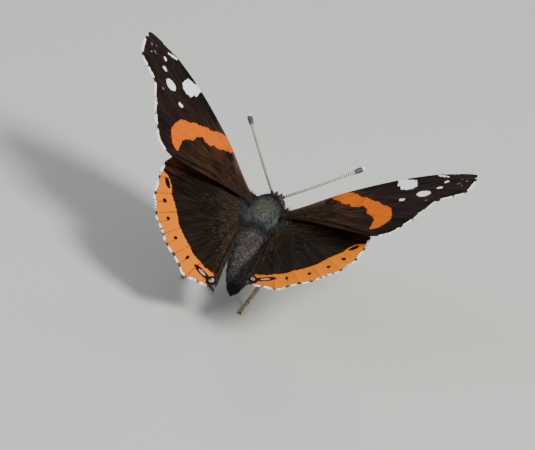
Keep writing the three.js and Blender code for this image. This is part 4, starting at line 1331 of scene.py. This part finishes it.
# %% The eyes
# A compound eye: thousands of lenses over a dark brown ground, glossy but not mirror-like.
# The real lenses are about four times finer, and are drawn as coarse as they need to show.
LENSES_PER_METRE = 11000.0
eye = new_material("Compound eye", {"Roughness": 0.32})
lens_place = add_node(eye, "TexCoord", output=3)
lenses = add_node(eye, "TexVoronoi", lens_place, LENSES_PER_METRE)
lens_height = add_node(eye, "Math", 1.0, lenses, operation="SUBTRACT")
mottle = add_node(eye, "TexNoise", lens_place, 1400.0, 2.0)
finish(eye, paint(eye, "120806", ("3a1d12", mottle)), lens_height, 0.35, 0.03)
for side, word in SIDES:
    bpy.ops.mesh.primitive_uv_sphere_add(segments=64, ring_count=40, radius=1)
    ball = bpy.context.object
    ball.name = "compound_eye_" + word
    own = points_of(ball.data) * (np.array(EYE_SIZE) * 0.97) + (side * EYE_PLACE[0], *EYE_PLACE[1:])
    ball.data.vertices.foreach_set("co", head_in_room(own).ravel())
    ball.data.update()
    ball.data.uv_layers[0].name = "OFBake"
    hand_over(ball, eye, ["eye_" + word])
bpy.ops.object.select_all(action="DESELECT")

# %% The legs' paths
# Places in mm from the hip to the foot, and the radius at each. The feet rest on the floor.
MIDLEG = [(.95, .5, 7.1), (1.3, .4, 6), (1.7, .1, 5.1), (2.2, -.2, 5), (4.2, -1.6, 6.2), (6.1, -2.9, 7.3),
          (6.5, -3.15, 7.2), (7.2, -3.5, 5), (7.9, -3.9, 2.4), (8.15, -4.1, 1.4), (8.4, -4.6, .6),
          (8.6, -5.1, .22), (8.75, -5.8, .22), (8.85, -6.5, .22), (8.9, -6.95, .24)]
HINDLEG_LEFT = [(.9, 2.4, 6.9), (1.3, 2.6, 5.8), (1.8, 3, 4.9), (2.3, 3.4, 4.9), (4.1, 4.9, 6.3),
                (5.9, 6.3, 7.3), (6.3, 6.6, 7.1), (6.5, 7.2, 4.8), (6.6, 7.8, 2.3), (6.65, 8.05, 1.3),
                (6.7, 8.4, .6), (6.75, 8.9, .22), (6.7, 9.5, .22), (6.6, 10.1, .22), (6.5, 10.5, .24)]
HINDLEG_RIGHT = [(.9, 2.4, 6.9), (1.3, 2.6, 5.8), (1.7, 3, 4.9), (2.2, 3.5, 4.9), (3.6, 5.6, 6.3),
                 (4.8, 7.7, 7.3), (4.9, 8.1, 7.1), (4.45, 8.95, 4.8), (3.95, 9.85, 2.3),
                 (3.75, 10.15, 1.3), (3.6, 10.5, .6), (3.5, 10.95, .22), (3.45, 11.6, .22),
                 (3.45, 12.3, .22), (3.45, 12.75, .24)]
WALKING_RADII = [.6, .55, .42, .4, .42, .33, .3, .3, .28, .27, .26, .26, .26, .26, .2]
FORELEG = [(.9, -2.7, 7.3), (1.1, -3.5, 6.6), (1.3, -4.6, 6.1), (1.4, -5.7, 5.9), (1.45, -6, 5.7),
           (1.5, -5.6, 5.3), (1.55, -4.6, 5.1), (1.55, -3.6, 5.05), (1.5, -2.8, 5.1)]
FORELEG_RADII = [.36, .33, .3, .28, .27, .29, .3, .27, .2]
INSECT_SHIFT = THORAX - (0, 0, 9.2)
LEG_SIDES = 16


def in_room(points):
    """Points of the insect's standing frame, in mm, to the object's place in metres."""
    return (np.asarray(points, float) + INSECT_SHIFT) * MM


# %% The legs' materials
# Dark scales on the thigh, pale brown scales below the knee, and darker bands on the foot, 0.6 mm
# apart. The scales' grain is about 0.17 mm.
leg_scales = new_material("Leg scales", {"Roughness": 0.5})
_, reach, _, full = kept_numbers(leg_scales, "tube")
share = add_node(leg_scales, "Math", reach, full, operation="DIVIDE")
root = add_node(leg_scales, "Attribute", output=1, attribute_name="root")
grit = add_node(leg_scales, "TexNoise", root, 6.0, 2.0)
shin = paint(leg_scales, "8d7656", ("d3c4a2", (grit, 0.3, 0.7)))
leg_tint = paint(
    leg_scales, "2a211d",
    ("6a5a4e", (grit, 0.35, 0.7)),
    (shin, (share, 0.44, 0.5)),
    ("5b452f", (waves(leg_scales, reach, 10.5), 0.75, 0.95), (share, 0.8, 0.84)),
)
finish(leg_scales, leg_tint, grit, 0.4, 0.04)

# Horn of the claws and spines, nearly black.
claw_horn = new_material("Claw horn", {"Base Color": "1c120c", "Roughness": 0.3})

# %% The legs' scales, spines and claws
SPINE_LENGTH, SPINE_TURN = 0.42, 2.4


def leg_coat(name, leg, node, spacing, length, width, lift):
    """Scales or hair over a leg, all lying towards the foot."""
    points, faces, numbers = leg
    triangles = [face[:3] for face in faces] + [(face[0], *face[2:]) for face in faces if len(face) == 4]
    roots, normals = scatter(points, np.array(triangles), spacing)
    clear_of_floor = (roots[:, 2] > 0.5) | (normals[:, 2] > 0.2)
    roots, normals = roots[clear_of_floor], normals[clear_of_floor]
    centres = points[:-2].reshape(-1, LEG_SIDES, 3).mean(axis=1)
    ahead = np.repeat(unit(np.gradient(centres, axis=0)), LEG_SIDES, axis=0)
    nearest = np.array([np.argmin(np.sum((points[:-2] - root) ** 2, axis=1)) for root in roots])
    made = grow(roots, normals, ahead[nearest], length, width, lift, 0.12)
    own = numbers[nearest]
    own[:, 0] += np.sum((roots - points[nearest]) * ahead[nearest], axis=1)
    unwrap = np.column_stack(tube_unwrap(own))
    unwrap[:, 1] += CHANCE.uniform(-0.02, 0.02, len(roots))
    coat_piece(name, made, unwrap, {"tube": own, "root": roots}, leg_scales, [node], in_room)


def leg_spines(rows, first, last):
    """Three short spines in each step of a leg, turning round it, and none into the floor."""
    spines = []
    for k in range(first, last):
        ahead = unit((rows[k + 1] - rows[k])[:3])
        for step in range(3):
            spot = rows[k] * (1 - step / 3) + rows[k + 1] * (step / 3)
            turn = (k * 3 + step) * SPINE_TURN
            out = unit(np.cross(ahead, (math.cos(turn), math.sin(turn), 0.4)))
            if spot[2] < 0.6 and out[2] < 0.1:
                continue
            base = spot[:3] + out * spot[3] * 0.6
            tip = base + (out * 0.6 + ahead * 0.8) * SPINE_LENGTH
            spines.append(tube([(*base, 0.05), (*((base + tip) / 2), 0.04), (*tip, 0.015)], 5, 1))
    return spines


def leg_claws(rows):
    """The two curved claws at the end of a foot."""
    claws = []
    ahead = unit((rows[-1] - rows[-2])[:3])
    across = np.cross(ahead, (0, 0, 1))
    for way in (-1, 1):
        start = rows[-1, :3] + across * way * 0.06 + (0, 0, 0.02)
        bow = start + ahead * 0.25 + across * way * 0.12 + (0, 0, 0.06)
        point = start + ahead * 0.42 + across * way * 0.16 - (0, 0, 0.16)
        claws.append(tube([(*start, 0.07), (*bow, 0.055), (*point, 0.02)], 8, 4))
    return claws


# %% Make the legs
LEGS = [
    ("middle_leg_left", "midleg_left", MIDLEG, LEFT),
    ("middle_leg_right", "midleg_right", MIDLEG, RIGHT),
    ("hind_leg_left", "hindleg_left", HINDLEG_LEFT, LEFT),
    ("hind_leg_right", "hindleg_right", HINDLEG_RIGHT, RIGHT),
    ("fore_leg_left", "foreleg_left", FORELEG, LEFT),
    ("fore_leg_right", "foreleg_right", FORELEG, RIGHT),
]
for name, node, path, side in LEGS:
    walks = path is not FORELEG
    rows = np.column_stack([path, WALKING_RADII if walks else FORELEG_RADII]) * (side, 1, 1, 1)
    # The tube is thinner than the solid, by the depth of its scales.
    slim = rows * (1, 1, 1, 0.88)
    if walks:
        slim[-4:, 3] = 0.2
    leg = tube(slim, LEG_SIDES, 4)
    tube_piece(name, [leg], in_room, leg_scales, node)
    if walks:
        leg_coat(name + "_scales", leg, node, 0.12, 0.3, 0.1, 0.28)
        horn = leg_spines(rows, 7, len(rows) - 2) + leg_claws(rows)
    else:
        leg_coat(name + "_brush", leg, node, 0.1, 0.55, 0.05, 0.5)
        horn = leg_spines(rows, 5, len(rows) - 1)
    tube_piece(name + "_claws", horn, in_room, claw_horn, node)

# %% [markdown]
# ## Fringe and wing hair
#
# The outer margin of each wing carries a fringe of long scales, white between the veins and
# dark at their ends. Long fine hair lies over the base of the wings and down the hindwing's
# inner fold, where it hides the joint with the body. Both could be painted on, but the real ones
# stand free of the sheet. They are solid tufts like the fur, but they are drawn in the wing's
# plan and then held to its pose with the wing.

# %% Fringe
FRINGE_STEP, FRINGE_WIDTH = 0.085, 0.17


def wing_tufts(name, kind, places, made, material, numbers):
    """A coat piece on a wing from tufts made in its plan."""
    points, faces = made
    made = points, faces[:, ::WINGS[name][1]]
    numbers["coat"] = np.column_stack([places, CHANCE.random(len(places))])
    coat_piece(f"{name}_{kind}", made, wing_unwrap(places, True), numbers, material, [name],
               lambda p: hold_wing(name, p))


def make_fringe(name):
    """Two rows of long scales along a wing's outer margin, shorter at the dark ticks."""
    plan = WINGS[name][0]
    count = int(reach_along(plan["hem"])[-1] / FRINGE_STEP)
    line = smooth_line(plan["hem"], count)
    ahead = np.gradient(line, axis=0)
    out = unit(np.column_stack([ahead[:, 1], -ahead[:, 0], np.zeros(count)]))
    line = np.vstack([line, line + CHANCE.normal(0, 0.02, line.shape)])
    out = np.vstack([out, out])
    out *= np.sign(np.median(np.sum(out[:, :2] * (line - plan["middle"]), axis=1)))
    roots = np.column_stack([line - out[:, :2] * 0.1, camber(plan, line)])
    lie = out + CHANCE.normal(0, 0.1, out.shape) * (1, 1, 0.6)
    numbers = wing_numbers(plan, line, True)
    to_tick = numbers["more_marks"][:, 1]
    size = (0.22 + 0.2 * np.clip((to_tick - 0.2) / 0.6, 0, 1)) * CHANCE.uniform(0.82, 1.15, len(line))
    up = np.tile([0.0, 0.0, 1.0], (len(line), 1))
    made = tufts(roots, up, lie, size, FRINGE_WIDTH, 0.0, 0.0)
    # The margin's distance is nothing here, so the material gives the fringe's colours.
    numbers["lines"][:, 1] = 0
    wing_tufts(name, "fringe", line, made, forewing_scales if plan is forewing else hindwing_scales, numbers)


# %% Wing hair
HAIR_COUNT, HAIR_WIDTH = 9000, 0.07
# Fine hair with the wing's own dull sheen, brown to grey.
wing_hair = new_material("Wing hair", {"Roughness": 0.85, "Specular IOR Level": 0.08})
chance = kept_numbers(wing_hair, "coat")[3]
hair_tint = paint(wing_hair, "15100b", ("4c3f30", (chance, 0.0, 1.0)), ("554d4a", (chance, 0.93, 0.96)))
set_shader(wing_hair, {"Base Color": hair_tint})


def make_wing_hair(name):
    """Long flat hair over a wing's base, thinner away from the body."""
    plan = WINGS[name][0]
    along, across = CHANCE.random(HAIR_COUNT), CHANCE.random(HAIR_COUNT)[:, None]
    pick = along * (COLUMNS - 1)
    front, back = (np.stack([np.interp(pick, np.arange(COLUMNS), plan[edge][:, k]) for k in (0, 1)], axis=1)
                   for edge in ("front", "back"))
    places = front * (1 - across) + back * across
    from_body = np.hypot(places[:, 0] + 0.5, places[:, 1] - 1.0) / 8
    if plan is forewing:
        clear_of_edge = line_distance(places, plan["front"]) > 0.8
        density = np.clip(1.15 - from_body, 0, 1) * 0.6 * clear_of_edge
    else:
        fold = np.clip(1.3 - (places[:, 0] - FOLD_LEAN * places[:, 1]) / 2.4, 0, 1)
        density = np.maximum(np.clip(1.35 - from_body, 0, 1), fold)
    places = places[CHANCE.random(HAIR_COUNT) < density]
    count = len(places)
    outward = unit(np.column_stack([places - STREAK_ROOT, np.zeros(count)]))
    lie = outward + CHANCE.normal(0, 0.12, (count, 3)) * (1, 1, 0)
    height = camber(plan, places) + half_thickness(plan, places)[0]
    up = np.tile([0.0, 0.0, 1.0], (count, 1))
    length = CHANCE.uniform(0.7, 1.5, count)
    made = tufts(np.column_stack([places, height]), up, lie, length, HAIR_WIDTH, 0.14, 0.05)
    wing_tufts(name, "hair", places, made, wing_hair, {})


# %% Make the fringes and the hair
for name in WINGS:
    make_fringe(name)
    make_wing_hair(name)
